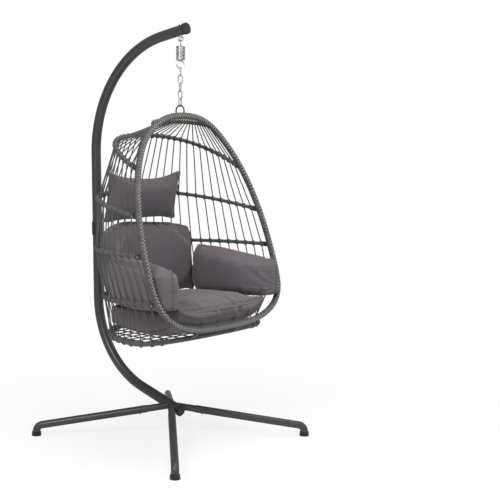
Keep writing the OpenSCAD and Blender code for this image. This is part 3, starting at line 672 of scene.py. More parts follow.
@dataclass
class Strand:
    """A bar or cord laid along a route, ring by ring, its surface shaped by a profile."""

    route: Points
    rings: int
    sides: int
    closed: bool = False
    facing: tuple[float, float, float] | None = None

    def frames(self) -> tuple[Points, Points, Points, Points]:
        """The rings' middles and two directions across each, and the run at each."""
        route = np.vstack([self.route, self.route[:1]]) if self.closed else self.route
        run = np.linspace(0, lengths(route)[-1], self.rings + 1)
        middle = along(route, run)
        if self.closed:
            ahead = unit(np.roll(middle[:-1], -1, 0) - np.roll(middle[:-1], 1, 0))
            ahead = np.vstack([ahead, ahead[:1]])
        else:
            ahead = unit(np.gradient(middle, axis=0))
        if self.facing is not None:
            face = np.asarray(self.facing, float)
            first = unit(face - ahead * (ahead @ face)[:, None])
        else:
            first = np.zeros_like(ahead)
            start = np.eye(3)[np.argmin(np.abs(ahead[0]))]
            first[0] = unit(start - ahead[0] * (ahead[0] @ start))
            for k in range(1, len(ahead)):
                moved = first[k - 1] - ahead[k] * (first[k - 1] @ ahead[k])
                first[k] = unit(moved)
        return middle, first, np.cross(ahead, first), run

    def lay(self, bm: bmesh.types.BMesh, profile: Profile) -> None:
        """Adds the strand to a mesh.

        Args:
            bm: the mesh that it joins.
            profile: gives each point's radius and how far it stands proud, 0 to 1,
                from its run in metres and its turn from 0 to 1.
        """
        part = bmesh.new()
        bmesh.ops.create_grid(part, x_segments=self.rings, y_segments=self.sides, size=1)
        sheet = bpy.data.meshes.new("strand")
        part.to_mesh(sheet)
        part.free()
        flat = np.empty(len(sheet.vertices) * 3)
        sheet.vertices.foreach_get("co", flat)
        flat = flat.reshape(-1, 3)
        ring = np.rint((flat[:, 0] + 1) / 2 * self.rings).astype(int)
        side = np.rint((flat[:, 1] + 1) / 2 * self.sides).astype(int)
        middle, first, second, run = self.frames()
        turn = side / self.sides
        radius, high = profile(run[ring], turn % 1.0)
        angle = math.tau * turn
        place = middle[ring] + radius[:, None] * (
            np.cos(angle)[:, None] * first[ring] + np.sin(angle)[:, None] * second[ring]
        )
        sheet.vertices.foreach_set("co", place.ravel())
        corners = np.empty(len(sheet.loops), int)
        sheet.loops.foreach_get("vertex_index", corners)
        layer = sheet.uv_layers.new(name="Lay")
        layer.data.foreach_set("uv", np.stack([run[ring], turn], 1)[corners].ravel())
        # The high mark is also the mask that the wicker and cord finishes lighten: a painted
        # highlight, on the wicker partly a paler strip.
        mark = sheet.attributes.new("high", "FLOAT", "POINT")
        mark.data.foreach_set("value", np.asarray(high, np.float32))
        part = bmesh.new()
        part.from_mesh(sheet)
        bmesh.ops.remove_doubles(part, verts=part.verts, dist=1e-6)
        rims = [e for e in part.edges if e.is_boundary]
        if rims:
            bmesh.ops.holes_fill(part, edges=rims, sides=self.sides + 2)
        bmesh.ops.recalc_face_normals(part, faces=part.faces)
        part.to_mesh(sheet)
        part.free()
        bm.from_mesh(sheet)
        bpy.data.meshes.remove(sheet)


def plain(radius: float) -> Profile:
    """A round section that stays the same."""
    return lambda run, turn: (np.full_like(run, radius), np.zeros_like(run))


def add_piece(name: str, bm: bmesh.types.BMesh, slot: Slot) -> bpy.types.Object:
    """Turns a finished mesh into a named, smoothly shaded piece with its finish.

    Args:
        name: the piece's name.
        bm: its mesh, in place.
        slot: its finish.

    Returns:
        The new object.
    """
    mesh = bpy.data.meshes.new(name)
    bm.to_mesh(mesh)
    bm.free()
    mesh.polygons.foreach_set("use_smooth", [True] * len(mesh.polygons))
    mesh.materials.append(slot.material())
    piece = bpy.data.objects.new(name, mesh)
    bpy.context.scene.collection.objects.link(piece)
    return piece


def settle(piece: bpy.types.Object, body: str, *nodes: str) -> None:
    """Lets a piece ride on a body and stand for its nodes."""
    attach(piece, body)
    if nodes:
        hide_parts(*nodes)
    LOG.info("%s: %d faces, rides on %s", piece.name, len(piece.data.polygons), body)


@dataclass
class WovenFrame:
    """The rim and the crown bar, wound with strip and laced with two staggered rows."""

    pitch: float = WIND_PITCH
    sides: int = 28
    rings_a_wind: int = 6
    proud: float = 0.0011
    row_half: float = 0.105

    def profile(self, radius: float, middle: float) -> Profile:
        """The wound section.

        Args:
            radius: the bar's outer radius.
            middle: the turn at which the two rows lie.

        Returns:
            The profile.
        """

        def section(run: Points, turn: Points) -> tuple[Points, Points]:
            winds = run / self.pitch
            arch = np.sqrt(np.clip(1 - (2 * (winds % 1.0) - 1) ** 2, 0, 1))
            away = (turn - middle + 0.5) % 1.0 - 0.5
            row = np.where(np.abs(away) < self.row_half, np.where(away > 0, 1, 0), -1)
            over = (row >= 0) & ((np.floor(winds + 1e-9) + row) % 2 == 0)
            under = (row >= 0) & ~over
            r = radius - 0.0016 + 0.0011 * arch
            r = r + np.where(over, self.proud * arch, 0) - np.where(under, 0.0007, 0)
            # over * arch, the raised woven cells, is also the mask that the finish lightens: partly
            # a paler strip, partly a painted highlight.
            return r, over * arch

        return section

    def build(self) -> None:
        """Makes both bars."""
        rim = BASKET.placed(BASKET.rim())
        winds = round(lengths(np.vstack([rim, rim[:1]]))[-1] / self.pitch / 2) * 2
        bm = bmesh.new()
        bar = Strand(rim, winds * self.rings_a_wind, self.sides, True, (0, 1, 0))
        bar.lay(bm, self.profile(BASKET.rim_r, 0.5))
        settle(add_piece("front_rim_winding", bm, Slot.WICKER), "basket", "front_rim")
        crown = BASKET.placed(BASKET.crown())
        winds = round(lengths(crown)[-1] / self.pitch)
        bm = bmesh.new()
        bar = Strand(crown, winds * self.rings_a_wind, 20, False, (0, 0, 1))
        bar.lay(bm, self.profile(BASKET.crown_r, 0.12))
        settle(add_piece("crown_bar_winding", bm, Slot.WICKER), "basket", "crown_bar")


@dataclass
class CordHoops:
    """The hoops, wound with cord, with a thicker lashing at each upright cord."""

    pitch: float = 0.0090
    sides: int = 14
    rings_a_wind: int = 5
    socket: float = 0.017
    lashing_turns: float = 2.0

    def profile(self, radius: float) -> Profile:
        """A helical winding on a bar of that outer radius."""

        def section(run: Points, turn: Points) -> tuple[Points, Points]:
            phase = (run / self.pitch + turn) % 1.0
            arch = np.sqrt(np.clip(1 - (2 * phase - 1) ** 2, 0, 1))
            # arch, the crest of each turn, is also the mask for the cord's painted highlight.
            return radius - 0.0026 + 0.0026 * arch, arch

        return section

    def lashing(self, bm: bmesh.types.BMesh, at: Points, ahead: Points, radius: float) -> None:
        """Winds a short length of cord round a bar.

        Args:
            bm: the mesh that it joins.
            at: the middle of the lashing on the bar's axis.
            ahead: the bar's direction there.
            radius: from the bar's axis to the middle of the cord.
        """
        side = unit(np.cross(ahead, (0, 0, 1)))
        up = np.cross(side, ahead)
        steps = int(11 * self.lashing_turns)
        a = np.linspace(0, math.tau * self.lashing_turns, steps + 1)
        shift = (a / math.tau - self.lashing_turns / 2) * BASKET.cord_r * 1.9
        ring = radius * (np.cos(a)[:, None] * side + np.sin(a)[:, None] * up)
        Strand(at + ring + shift[:, None] * ahead, steps, 6).lay(bm, plain(BASKET.cord_r))

    def bar(self, name: str, route: Points, radius: float, closed: bool, *nodes: str) -> None:
        """One wound bar.

        Args:
            name: the piece's name.
            route: its middle line, in place.
            radius: its outer radius.
            closed: whether its ends meet.
            nodes: the nodes that it stands for.
        """
        whole = np.vstack([route, route[:1]]) if closed else route
        winds = round(lengths(whole)[-1] / self.pitch)
        bm = bmesh.new()
        facing = (0, 0, 1)
        strand = Strand(route, winds * self.rings_a_wind, self.sides, closed, facing)
        strand.lay(bm, self.profile(radius))
        settle(add_piece(name, bm, Slot.CORD), "basket", *nodes)

    def build(self) -> None:
        """Makes the wound bars and their lashings."""
        for k in range(4):
            route = BASKET.placed(BASKET.hoop(k))
            run = lengths(route)
            inner = along(route, np.linspace(self.socket, run[-1] - self.socket, 721))
            self.bar(f"hoop_{k + 1}_winding", inner, BASKET.hoop_r, False, f"hoop_{k + 1}")
        base = BASKET.placed(BASKET.bottom(np.linspace(0, 360, 1440, endpoint=False)))
        self.bar("bottom_hoop_winding", base, BASKET.bottom_r, True, "bottom_hoop")
        bm = bmesh.new()
        for k, row in enumerate(BASKET.rows()[1:]):
            route = BASKET.hoop(k) if k < 4 else BASKET.bottom(np.linspace(228, -48, 721))
            radius = (BASKET.hoop_r if k < 4 else BASKET.bottom_r) + BASKET.cord_r * 0.55
            for spot in row:
                near = int(np.argmin(np.linalg.norm(route - spot, axis=1)))
                low, high = max(near - 2, 0), min(near + 2, len(route) - 1)
                ahead = unit(route[high] - route[low])
                self.lashing(bm, BASKET.placed(spot), ahead, radius)
        settle(add_piece("cord_lashings", bm, Slot.CORD), "basket")
        bm = bmesh.new()
        for x in (-0.150, 0.150):
            ends = BASKET.placed([[x, -0.215, -0.997], [x, -0.292, -0.953]])
            Strand(ends, 60, self.sides).lay(bm, self.profile(0.007))
        settle(add_piece("seat_struts_winding", bm, Slot.CORD), "basket", "seat_struts")


@dataclass
class CordNet:
    """The upright cords between the bars and the cords under the seat."""

    sides: int = 8
    step: float = 0.03

    def taut(self, bm: bmesh.types.BMesh, start: Points, end: Points, sway: float) -> None:
        """One cord between two bars, nearly straight.

        Args:
            bm: the mesh that it joins.
            start: its first end.
            end: its last end.
            sway: how far its middle stands off the straight line, in metres.
        """
        t = np.linspace(0, 1, 25)[:, None]
        aside = unit(np.cross(end - start, (0, 0, 1)))
        route = start + (end - start) * t + aside * sway * 4 * t * (1 - t)
        rings = max(3, round(float(np.linalg.norm(end - start)) / self.step))
        Strand(route, rings, self.sides).lay(bm, plain(BASKET.cord_r))

    def build(self) -> None:
        """Makes each row of cords as one piece."""
        rows = BASKET.rows()
        names = ("crown_net", "upper_net", "middle_net", "lower_net", "base_net")
        for k, name in enumerate(names):
            bm = bmesh.new()
            sway = (scatter(BASKET.cord_count, 40 + k) - 0.5) * 0.003
            for i in range(BASKET.cord_count):
                start, end = (BASKET.placed(rows[k + n][i]) for n in (0, 1))
                self.taut(bm, start, end, float(sway[i]))
            settle(add_piece(name + "_cords", bm, Slot.CORD), "basket", name)
        bm = bmesh.new()
        span = BASKET.bottom_w / 2 - 0.055
        for x in np.linspace(-span, span, BASKET.seat_cords):
            share = abs(x) / (BASKET.bottom_w / 2)
            front = -BASKET.bottom_wide_front - BASKET.bottom_front * (1 - share**2.8) ** (1 / 2.8)
            rear = -BASKET.bottom_wide_front + BASKET.bottom_rear * math.sqrt(1 - share**2)
            ends = BASKET.placed([[x, y, -BASKET.bottom_drop] for y in (front, rear)])
            self.taut(bm, ends[0], ends[1], 0.0)
        under = -BASKET.bottom_drop - BASKET.cord_r * 2
        for y in np.linspace(-0.165, 0.205, 9):
            if y < -BASKET.bottom_wide_front:
                share = (-BASKET.bottom_wide_front - y) / BASKET.bottom_front
                reach = BASKET.bottom_w / 2 * (1 - share**2.8) ** (1 / 2.8)
            else:
                share = (y + BASKET.bottom_wide_front) / BASKET.bottom_rear
                reach = BASKET.bottom_w / 2 * math.sqrt(1 - share**2)
            ends = BASKET.placed([[x, y, under] for x in (-reach, reach)])
            self.taut(bm, ends[0], ends[1], 0.0)
        settle(add_piece("seat_net_cords", bm, Slot.CORD), "basket", "seat_net")


# ---- cushions --------------------------------------------------------------------------------


SEAT_THICK = 0.155
SEAT_FORWARD = 0.066


@dataclass
class Cushion:
    """A stuffed cushion, blown up as cloth between its seams and then creased where it is sewn.

    The pad is first made flat in its own plane, x across, y up and z through it.
    """

    name: str
    node: str
    half: tuple[float, float, float]
    edge: float
    corner: float
    pull: float
    crown: float
    fill: float
    swell: float = 0.022
    voxel: float = 0.006
    knife: bool = False
    pleat: float = 0.0030
    pleat_reach: float = 0.040
    pleat_step: float = 0.030
    tight: float = 0.002
    loose: float = 0.045
    on_base: float = 0.0
    on_front: float = 0.0
    drop: float = 0.0
    groove: float = 0.0034
    groove_width: float = 0.0050
    # Width of the painted shade along the seams.
    seam_shade_width: float = 0.0034
    pressure: float = 4.0
    seed: int = 1
    local: Points = field(default_factory=lambda: np.zeros((0, 3)))
    start: Points = field(default_factory=lambda: np.zeros((0, 3)))
    piece: bpy.types.Object | None = None

    def bend(self, p: Points) -> Points:
        """The flat pad's points shaped and put where the cushion lies."""
        raise NotImplementedError

    def folds(self, p: Points, u: Points, v: Points) -> Points:
        """Extra height of the larger folds, in metres, by the flat pad's places from -1 to 1."""
        return np.zeros(len(p))

    def gather(self, u: Points, v: Points) -> Points:
        """How strongly the cloth is gathered at the seam there."""
        return np.ones(len(u))

    def outline(self, steps: int = 400) -> tuple[Points, Points]:
        """The sewn edge's u and v, from -1 to 1, once round."""
        a = np.linspace(0, 8, steps, endpoint=False)
        u = np.clip(np.abs((a + 1) % 8 - 4) - 2, -1, 1)
        v = np.clip(np.abs((a + 7) % 8 - 4) - 2, -1, 1)
        return u, v

    def flat(self, u: Points, v: Points, s: Points) -> Points:
        """Points of the flat pad.

        Args:
            u: across, -1 to 1.
            v: up, -1 to 1.
            s: through, -1 to 1.

        Returns:
            Their places in metres.
        """
        hx, hy, ht = self.half
        x = hx * u * (1 - self.corner * v**4) * (1 - self.pull * (1 - v * v))
        y = hy * v * (1 - self.corner * u**4) * (1 - self.pull * (1 - u * u))
        open_u = np.clip(1 - np.abs(u) ** self.crown, 0, 1)
        open_v = np.clip(1 - np.abs(v) ** self.crown, 0, 1)
        h = self.edge + (ht - self.edge) * np.sqrt(open_u * open_v)
        rounding = np.sqrt(np.clip(1 - s * s, 0, 1)) * self.edge * 0.45
        grow_x = np.where(np.abs(u) > 0.999, np.sign(u) * rounding, 0)
        grow_y = np.where(np.abs(v) > 0.999, np.sign(v) * rounding, 0)
        return np.stack([x + grow_x, y + grow_y, s * h], 1)

    def seams(self) -> Points:
        """The sewn lines on the flat pad."""
        u, v = self.outline()
        if self.knife:
            return self.flat(u, v, np.zeros_like(u))
        return np.vstack([self.flat(u, v, np.full_like(u, s)) for s in (1.0, -1.0)])

    def shell(self) -> None:
        """Makes the flat pad, meshes it evenly and bends it into place."""
        bm = bmesh.new()
        bmesh.ops.create_cube(bm, size=2)
        bmesh.ops.subdivide_edges(bm, edges=bm.edges, cuts=27, use_grid_fill=True)
        flat = np.array([v.co for v in bm.verts])
        sine = np.sin(flat * math.pi / 2)
        place = self.flat(sine[:, 0], sine[:, 1], flat[:, 2])
        for vert, co in zip(bm.verts, place):
            vert.co = co
        bmesh.ops.recalc_face_normals(bm, faces=bm.faces)
        piece = add_piece(self.name, bm, Slot.CLOTH)
        remesh = piece.modifiers.new("even", "REMESH")
        remesh.mode = "VOXEL"
        remesh.voxel_size = self.voxel
        self.piece = piece
        self.bake()
        self.local = self.points()
        self.start = BASKET.placed(self.bend(self.local))
        self.put(self.start)
        self.face_out()

    def face_out(self) -> None:
        """Turns the faces outwards where a mirrored bend has turned them in."""
        bm = bmesh.new()
        bm.from_mesh(self.piece.data)
        if bm.calc_volume(signed=True) < 0:
            bmesh.ops.reverse_faces(bm, faces=bm.faces)
        bm.to_mesh(self.piece.data)
        bm.free()

    def bake(self) -> None:
        """Applies the modifiers to the mesh."""
        graph = bpy.context.evaluated_depsgraph_get()
        fresh = bpy.data.meshes.new_from_object(self.piece.evaluated_get(graph))
        old = self.piece.data
        self.piece.modifiers.clear()
        self.piece.data = fresh
        fresh.name = self.name
        bpy.data.meshes.remove(old)
        fresh.polygons.foreach_set("use_smooth", [True] * len(fresh.polygons))

    def points(self) -> Points:
        """The mesh's points."""
        flat = np.empty(len(self.piece.data.vertices) * 3)
        self.piece.data.vertices.foreach_get("co", flat)
        return flat.reshape(-1, 3)

    def put(self, points: Points) -> None:
        """Moves the mesh's points."""
        self.piece.data.vertices.foreach_set("co", np.asarray(points, float).ravel())
        self.piece.data.update()

    def normals(self) -> Points:
        """The mesh's directions outwards at each point."""
        flat = np.empty(len(self.piece.data.vertices) * 3)
        self.piece.data.vertex_normals.foreach_get("vector", flat)
        return flat.reshape(-1, 3)

    def near_seam(self) -> tuple[Points, Points]:
        """Each point's distance from the nearest seam and the place along it, in metres."""
        line = self.seams()
        run = lengths(line)
        tree = KDTree(len(line))
        for k, p in enumerate(line):
            tree.insert(Vector(p), k)
        tree.balance()
        found = [tree.find(Vector(p))[1:] for p in self.local]
        return np.array([f[1] for f in found]), run[[f[0] for f in found]]

    def ready(self) -> None:
        """Sets the cloth up, with its seams drawn in."""
        away, _ = self.near_seam()
        group = self.piece.vertex_groups.new(name="drawn_in")
        for k, weight in enumerate(np.exp(-((away / 0.011) ** 2))):
            if weight > 0.05:
                group.add([k], float(weight), "REPLACE")
        cloth = self.piece.modifiers.new("filling", "CLOTH")
        settings = cloth.settings
        settings.quality = 5
        settings.mass = 0.25
        settings.tension_stiffness = 12
        settings.compression_stiffness = 12
        settings.shear_stiffness = 4
        settings.bending_stiffness = 1.6
        settings.use_pressure = True
        settings.uniform_pressure_force = self.pressure
        settings.effector_weights.gravity = 0
        settings.vertex_group_shrink = group.name
        settings.shrink_min = 0
        settings.shrink_max = 0.07
        cloth.collision_settings.use_collision = False
        cloth.point_cache.frame_start = 1
        cloth.point_cache.frame_end = 20

    def keep(self) -> None:
        """Applies the cloth and caps how far it has moved."""
        self.bake()
        self.piece.vertex_groups.clear()
        moved = self.points() - self.start
        far = np.linalg.norm(moved, axis=1, keepdims=True)
        moved *= np.minimum(1, self.swell / np.maximum(far, 1e-9))
        self.put(self.start + moved)
        self.ease(3)

    def ease(self, rounds: int) -> None:
        """Smooths the mesh a little, which also takes the remesh's steps out."""
        bm = bmesh.new()
        bm.from_mesh(self.piece.data)
        for _ in range(rounds):
            bmesh.ops.smooth_vert(
                bm, verts=bm.verts, factor=0.5, use_axis_x=True, use_axis_y=True, use_axis_z=True
            )
        bm.to_mesh(self.piece.data)
        bm.free()

    def stay_in(self) -> None:
        """Keeps the cushion near its solid, and closest where it meets the net or the rim."""
        solid = frame["nodes"][self.node].data
        corners = [tuple(v.co) for v in solid.vertices]
        tree = BVHTree.FromPolygons(corners, [tuple(f.vertices) for f in solid.polygons])
        points, facing = self.points(), self.normals()
        away = unit((points - (0, BASKET.chain_y, 0)) * (1, 1, 0))
        netward = np.clip((facing * away).sum(1), 0, 1)
        down = np.clip(-facing[:, 2], 0, 1) * self.on_base
        front = np.clip(-facing[:, 1] * 1.4, 0, 1) * self.on_front
        room = self.tight + self.loose * (1 - np.maximum(netward, np.maximum(down, front)))
        for k, p in enumerate(points):
            near, normal, _, _ = tree.find_nearest(Vector(p))
            out = (Vector(p) - near).dot(normal)
            if out > 0:
                points[k] = near + (Vector(p) - near) * (room[k] / (room[k] + out))
        self.put(points)

    def crease(self) -> None:
        """Adds the seams' grooves, the pleats that run out of them and the larger folds, and the
        mark for the painted shade along the seams.
        """
        away, run = self.near_seam()
        steps = run / self.pleat_step
        jitter = scatter(4096, self.seed)
        cell = np.floor(steps).astype(int)
        inside = steps - cell
        left, right = jitter[cell % 4096], jitter[(cell + 1) % 4096]
        ease = inside * inside * (3 - 2 * inside)
        strength = left * (1 - ease) + right * ease
        u = self.local[:, 0] / self.half[0]
        v = self.local[:, 1] / self.half[1]
        wave = np.abs(np.sin(math.pi * (steps + 0.8 * strength))) ** 0.7 - 0.7
        wave = wave * (0.25 + 1.9 * strength**2) * self.gather(u, v)
        fade = np.exp(-away / (self.pleat_reach * (0.5 + strength)))
        height = self.pleat * wave * fade
        height -= self.groove * np.exp(-((away / self.groove_width) ** 2))
        height += self.folds(self.local, u, v)
        self.put(self.points() + self.normals() * height[:, None])
        # The seam mark darkens the cloth along the seams in the finish: painted shade in their
        # grooves.
        mark = self.piece.data.attributes.new("seam", "FLOAT", "POINT")
        seam_shade = np.exp(-((away / self.seam_shade_width) ** 2))
        mark.data.foreach_set("value", seam_shade.astype(np.float32))

    def close(self) -> None:
        """Gives the last smoothness and hands the cushion to the basket."""
        self.stay_in()
        smooth = self.piece.modifiers.new("soft", "SUBSURF")
        smooth.levels = smooth.render_levels = 1
        settle(self.piece, "basket", self.node)


def turned(p: Points, axis: str, degrees: float) -> Points:
    """Points turned about an axis through the origin."""
    return p @ np.array(Matrix.Rotation(math.radians(degrees), 3, axis)).T


def ridge(at: Points, middle: float, width: float) -> Points:
    """A soft bump of height 1."""
    return np.exp(-(((at - middle) / width) ** 2))


@dataclass
class SeatCushion(Cushion):
    """The thick seat cushion, lifted at the front over the rim's foot."""

    front_reach: float = 0.215
    side_reach: float = 0.307
    lift: float = 0.044
    lift_on_top: float = 0.2
    corner_lift: float = 0.026

    def bend(self, p: Points) -> Points:
        """Lifts the front and lays the pad on the seat's cords."""
        f = np.maximum(0, -p[:, 1] / self.front_reach)
        lift = self.lift * f * f * np.where(p[:, 2] < 0, 1, self.lift_on_top)
        lift = lift + self.corner_lift * (p[:, 0] / self.side_reach * f) ** 4
        low = BASKET.seat_low + SEAT_THICK / 2
        return p + np.stack([0 * f, 0 * f - SEAT_FORWARD, lift + low], 1)

    def folds(self, p: Points, u: Points, v: Points) -> Points:
        """Creases across the front band and a few on the top."""
        front = np.clip(-v - 0.3, 0, 0.6) / 0.6
        lean = u + 0.10 * (v + 1)
        lines = -ridge(lean, 0.26, 0.022) - 0.8 * ridge(lean, 0.60, 0.02)
        lines -= 0.8 * ridge(lean, -0.12, 0.02)
        lines += -0.6 * ridge(lean, -0.5, 0.025) + 0.6 * ridge(lean, 0.34, 0.06)
        wide = np.sin(5.1 * u + 1.3) * np.sin(3.7 * v + 0.4)
        return 0.009 * lines * front + 0.004 * wide

    def gather(self, u: Points, v: Points) -> Points:
        """Strongest along the front."""
        return 0.35 + 0.35 * np.clip(-v, 0, 1) ** 2


@dataclass
class BackCushion(Cushion):
    """The back cushion with its arched top, curled forwards at both sides."""

    half_wide: float = 0.285
    half_high: float = 0.1725
    arch: float = 0.034
    curl: float = 0.066
    lean: float = 83.0

    def bend(self, p: Points) -> Points:
        """Arches, curls and leans the pad back."""
        u, v = p[:, 0] / self.half_wide, p[:, 1] / self.half_high
        top = np.where(v > 0, self.arch * u * u * v, 0)
        q = np.stack([p[:, 0], p[:, 1] - top, p[:, 2] + self.curl * u * u], 1)
        low = BASKET.seat_low + SEAT_THICK
        middle = (0, 0.350 - 0.009 - 0.145 / 2 - 0.0066, low - 0.006 + 0.345 / 2)
        return turned(q, "X", self.lean) + middle - np.array((0, 0, self.drop))

    def folds(self, p: Points, u: Points, v: Points) -> Points:
        """Short pleats under the top seam and soft hollows."""
        top = np.clip(v - 0.35, 0, 1) * 1.6
        pleats = sum(
            -w * ridge(u + 0.12 * (1 - v), at, 0.02)
            for at, w in ((0.28, 1.0), (0.52, 0.7), (-0.1, 0.8), (-0.45, 0.7), (0.75, 1.0))
        )
        wide = np.sin(4.2 * u + 0.6) * np.cos(3.1 * v)
        return 0.009 * pleats * top + 0.005 * wide

    def gather(self, u: Points, v: Points) -> Points:
        """Strongest along the top."""
        return 0.4 + 0.7 * np.clip(v, 0, 1)


@dataclass
class SideCushion(Cushion):
    """A side cushion that falls towards the front, its front end drawn into a fan of puckers."""

    hand: int = 1
    half_long: float = 0.226
    half_high: float = 0.113
    slope: float = 0.024
    rear_in: float = 0.044
    front_out: float = 0.030
    toe_lift: float = 0.044
    heel_fall: float = 0.018

    def bend(self, p: Points) -> Points:
        """Stands the pad inside the net and turns its front inwards."""
        u, v = p[:, 0] / self.half_long, p[:, 1] / self.half_high
        toe = np.where((v < 0) & (u < 0.6), self.toe_lift * v * v * (0.6 - u) ** 2 / 2.56, 0)
        toe -= np.where(v < 0, self.heel_fall * v * v * np.clip(u + 0.4, 0, 1.4) / 1.4, 0)
        out = np.where(u < 0, self.front_out, -self.rear_in) * u * u
        q = np.stack([p[:, 0], p[:, 1] + self.slope * u + toe, p[:, 2] + out], 1)
        q = turned(turned(q, "X", 90), "Z", 90)
        half = float(BASKET.half_at(BASKET.hoops[3][0]))
        top = BASKET.seat_low + SEAT_THICK
        q = q + (half - 0.009 - 0.0148 - 0.065, -SEAT_FORWARD - 0.014, top - 0.031 + 0.113)
        return q * (self.hand, 1, 1)

    def folds(self, p: Points, u: Points, v: Points) -> Points:
        """Puckers that spread from the middle of the front end."""
        angle = np.arctan2(p[:, 1] + 0.015, p[:, 0] + 0.26)
        reach = np.exp(-((np.hypot(p[:, 0] + 0.215, p[:, 1]) / 0.10) ** 2))
        fan = (np.abs(np.sin(angle * 5.5 + 0.5 * self.hand)) ** 0.7 - 0.7) * 0.013
        wide = np.sin(3.1 * u + 0.8) * np.sin(2.3 * v + 0.4) * 0.003
        return fan * reach + wide

    def gather(self, u: Points, v: Points) -> Points:
        """Strongest round the front end."""
        return 0.35 + 2.0 * np.clip(-u - 0.45, 0, 0.5) / 0.5


@dataclass
class HeadPillow(Cushion):
    """The loose head pillow with a knife edge, its sides drawn in between its corners."""

    half_wide: float = 0.245
    half_high: float = 0.12
    top_sag: float = 0.022
    lean: float = 99.0
    middle: tuple[float, float, float] = (0.0, 0.240, -0.383)

    def bend(self, p: Points) -> Points:
        """Hangs the pillow in front of the second hoop."""
        u, v = p[:, 0] / self.half_wide, p[:, 1] / self.half_high
        sag = self.top_sag * (1 - u * u) * np.maximum(v, 0)
        q = np.stack([p[:, 0], p[:, 1] - sag, p[:, 2]], 1)
        return turned(q, "X", self.lean) + self.middle

    def folds(self, p: Points, u: Points, v: Points) -> Points:
        """Faint hollows from the corners to the middle."""
        cross = ridge(np.abs(u) - np.abs(v), 0.0, 0.16) * np.clip(np.abs(u * v) - 0.2, 0, 1)
        return 0.004 * cross + 0.003 * np.sin(4 * u) * np.cos(2.5 * v)


def make_cushions() -> list[Cushion]:
    """The five cushions, in the order they are sewn."""
    arm = dict(half=(0.240, 0.122, 0.066), edge=0.020, corner=0.10, pull=0.0, crown=2.9, fill=0.7)
    arm |= dict(swell=0.018, on_front=1.0, knife=True, pleat=0.0042)
    return [
        SeatCushion(
            "seat_cushion_cover", "seat_cushion", (0.312, 0.218, 0.078), 0.052, 0.05, 0.01, 4.5,
            fill=0.7, swell=0.014, on_base=1.0,
        ),
        BackCushion(
            "back_cushion_cover", "back_cushion", (0.292, 0.192, 0.070), 0.034, 0.06, 0.0, 3.4,
            fill=0.65, seed=5, swell=0.016, drop=0.024,
        ),
        SideCushion("side_cushion_right_cover", "side_cushion_right", **arm, seed=9, hand=1),
        SideCushion("side_cushion_left_cover", "side_cushion_left", **arm, seed=13, hand=-1),
        HeadPillow(
            "head_pillow_cover", "head_pillow", (0.252, 0.124, 0.048), 0.003, 0.0, 0.06, 2.2,
            fill=0.5, knife=True, seed=17, pleat=0.0016, swell=0.010,
        ),
    ]


def stuff(cushions: Sequence[Cushion]) -> None:
    """Blows the cushions up together and finishes each.

    Args:
        cushions: the cushions, not yet meshed.
    """
    for cushion in cushions:
        cushion.shell()
    for cushion in cushions:
        cushion.ready()
    for step in range(1, 21):
        bpy.context.scene.frame_set(step)
    for cushion in cushions:
        cushion.keep()
    bpy.context.scene.frame_set(1)
    for cushion in cushions:
        cushion.crease()
        cushion.close()


# ---- tie strings and the spring --------------------------------------------------------------


@dataclass
class TieStrings:
    """The two strings that hold the head pillow to the second hoop."""

    diameter: float = 0.004
    sides: int = 10
    route: tuple[tuple[float, float, float], ...] = (
        (223, 240, -374),
        (231, 244, -373),
        (239, 250, -370),
        (247, 259, -366.5),
        (254.9, 270.3, -365.5),
        (259.3, 276.8, -368.8),
        (261.2, 279.5, -376.7),
        (259.3, 276.8, -384.6),
        (254.9, 270.3, -387.9),
        (250.4, 263.8, -384.6),
        (247.5, 259, -378.5),
        (246, 253, -372),
        (248, 250.5, -363),
        (253, 251, -354),
        (259, 253, -344.5),
        (266, 256, -336.5),
        (273, 260, -333),
        (278, 264, -337),
        (277, 264, -345),
        (271, 261, -354),
        (264, 258, -362),
        (257, 255.5, -369),
    )

    def build(self) -> None:
        for side, hand in (("right", 1), ("left", -1)):
            path = BASKET.placed(np.array(self.route) * MM * (hand, 1, 1))
            bm = bmesh.new()
            rings = (len(path) - 1) * 4
            Strand(path, rings, self.sides).lay(bm, plain(self.diameter / 2))
            piece = add_piece(f"pillow_tie_{side}_string", bm, Slot.TIE)
            settle(piece, "basket", f"pillow_tie_{side}")


@dataclass
class SpringCoil:
    """The hanger's spring, which stretches between its two hooks."""

    turns: float = 10 + (132 - 43) / 360
    pitch: float = 0.0062
    outer: float = 0.043
    wire: float = 0.005
    start_turn: float = 43.0

    def build(self) -> None:
        """Winds the spring between its hooks."""
        low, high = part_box("spring_coil")
        top = high.z - self.wire / 2
        a = np.linspace(0, self.turns * math.tau, 1200)
        r = (self.outer - self.wire) / 2
        turn = a + math.radians(self.start_turn)
        route = np.stack([r * np.cos(turn), r * np.sin(turn), top - self.pitch * a / math.tau], 1)
        route[:, 1] += BASKET.chain_y
        bm = bmesh.new()
        Strand(route, int(self.turns * 28), 12).lay(bm, plain(self.wire / 2))
        piece = add_piece("spring_coil_wire", bm, Slot.ZINC)
        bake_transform(piece)
        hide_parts("spring_coil")
        LOG.info("%s: %d faces, stretches", piece.name, len(piece.data.polygons))


# ---- the nodes that stay, the studio and the camera ------------------------------------------


def dress_nodes() -> None:
    """Gives each node that stays the finish of its slot."""
    slots = {slot.key: slot for slot in Slot}
    for entry in frame["record"]["subparts"]:
        node = frame["nodes"].get(entry["node"] if "node" in entry else entry["name"])
        wanted = slots.get(entry.get("material_slot", ""))
        if node is None or wanted is None:
            LOG.info("no slot for %s", entry)
            continue
        node.data.materials.clear()
        node.data.materials.append(wanted.material())


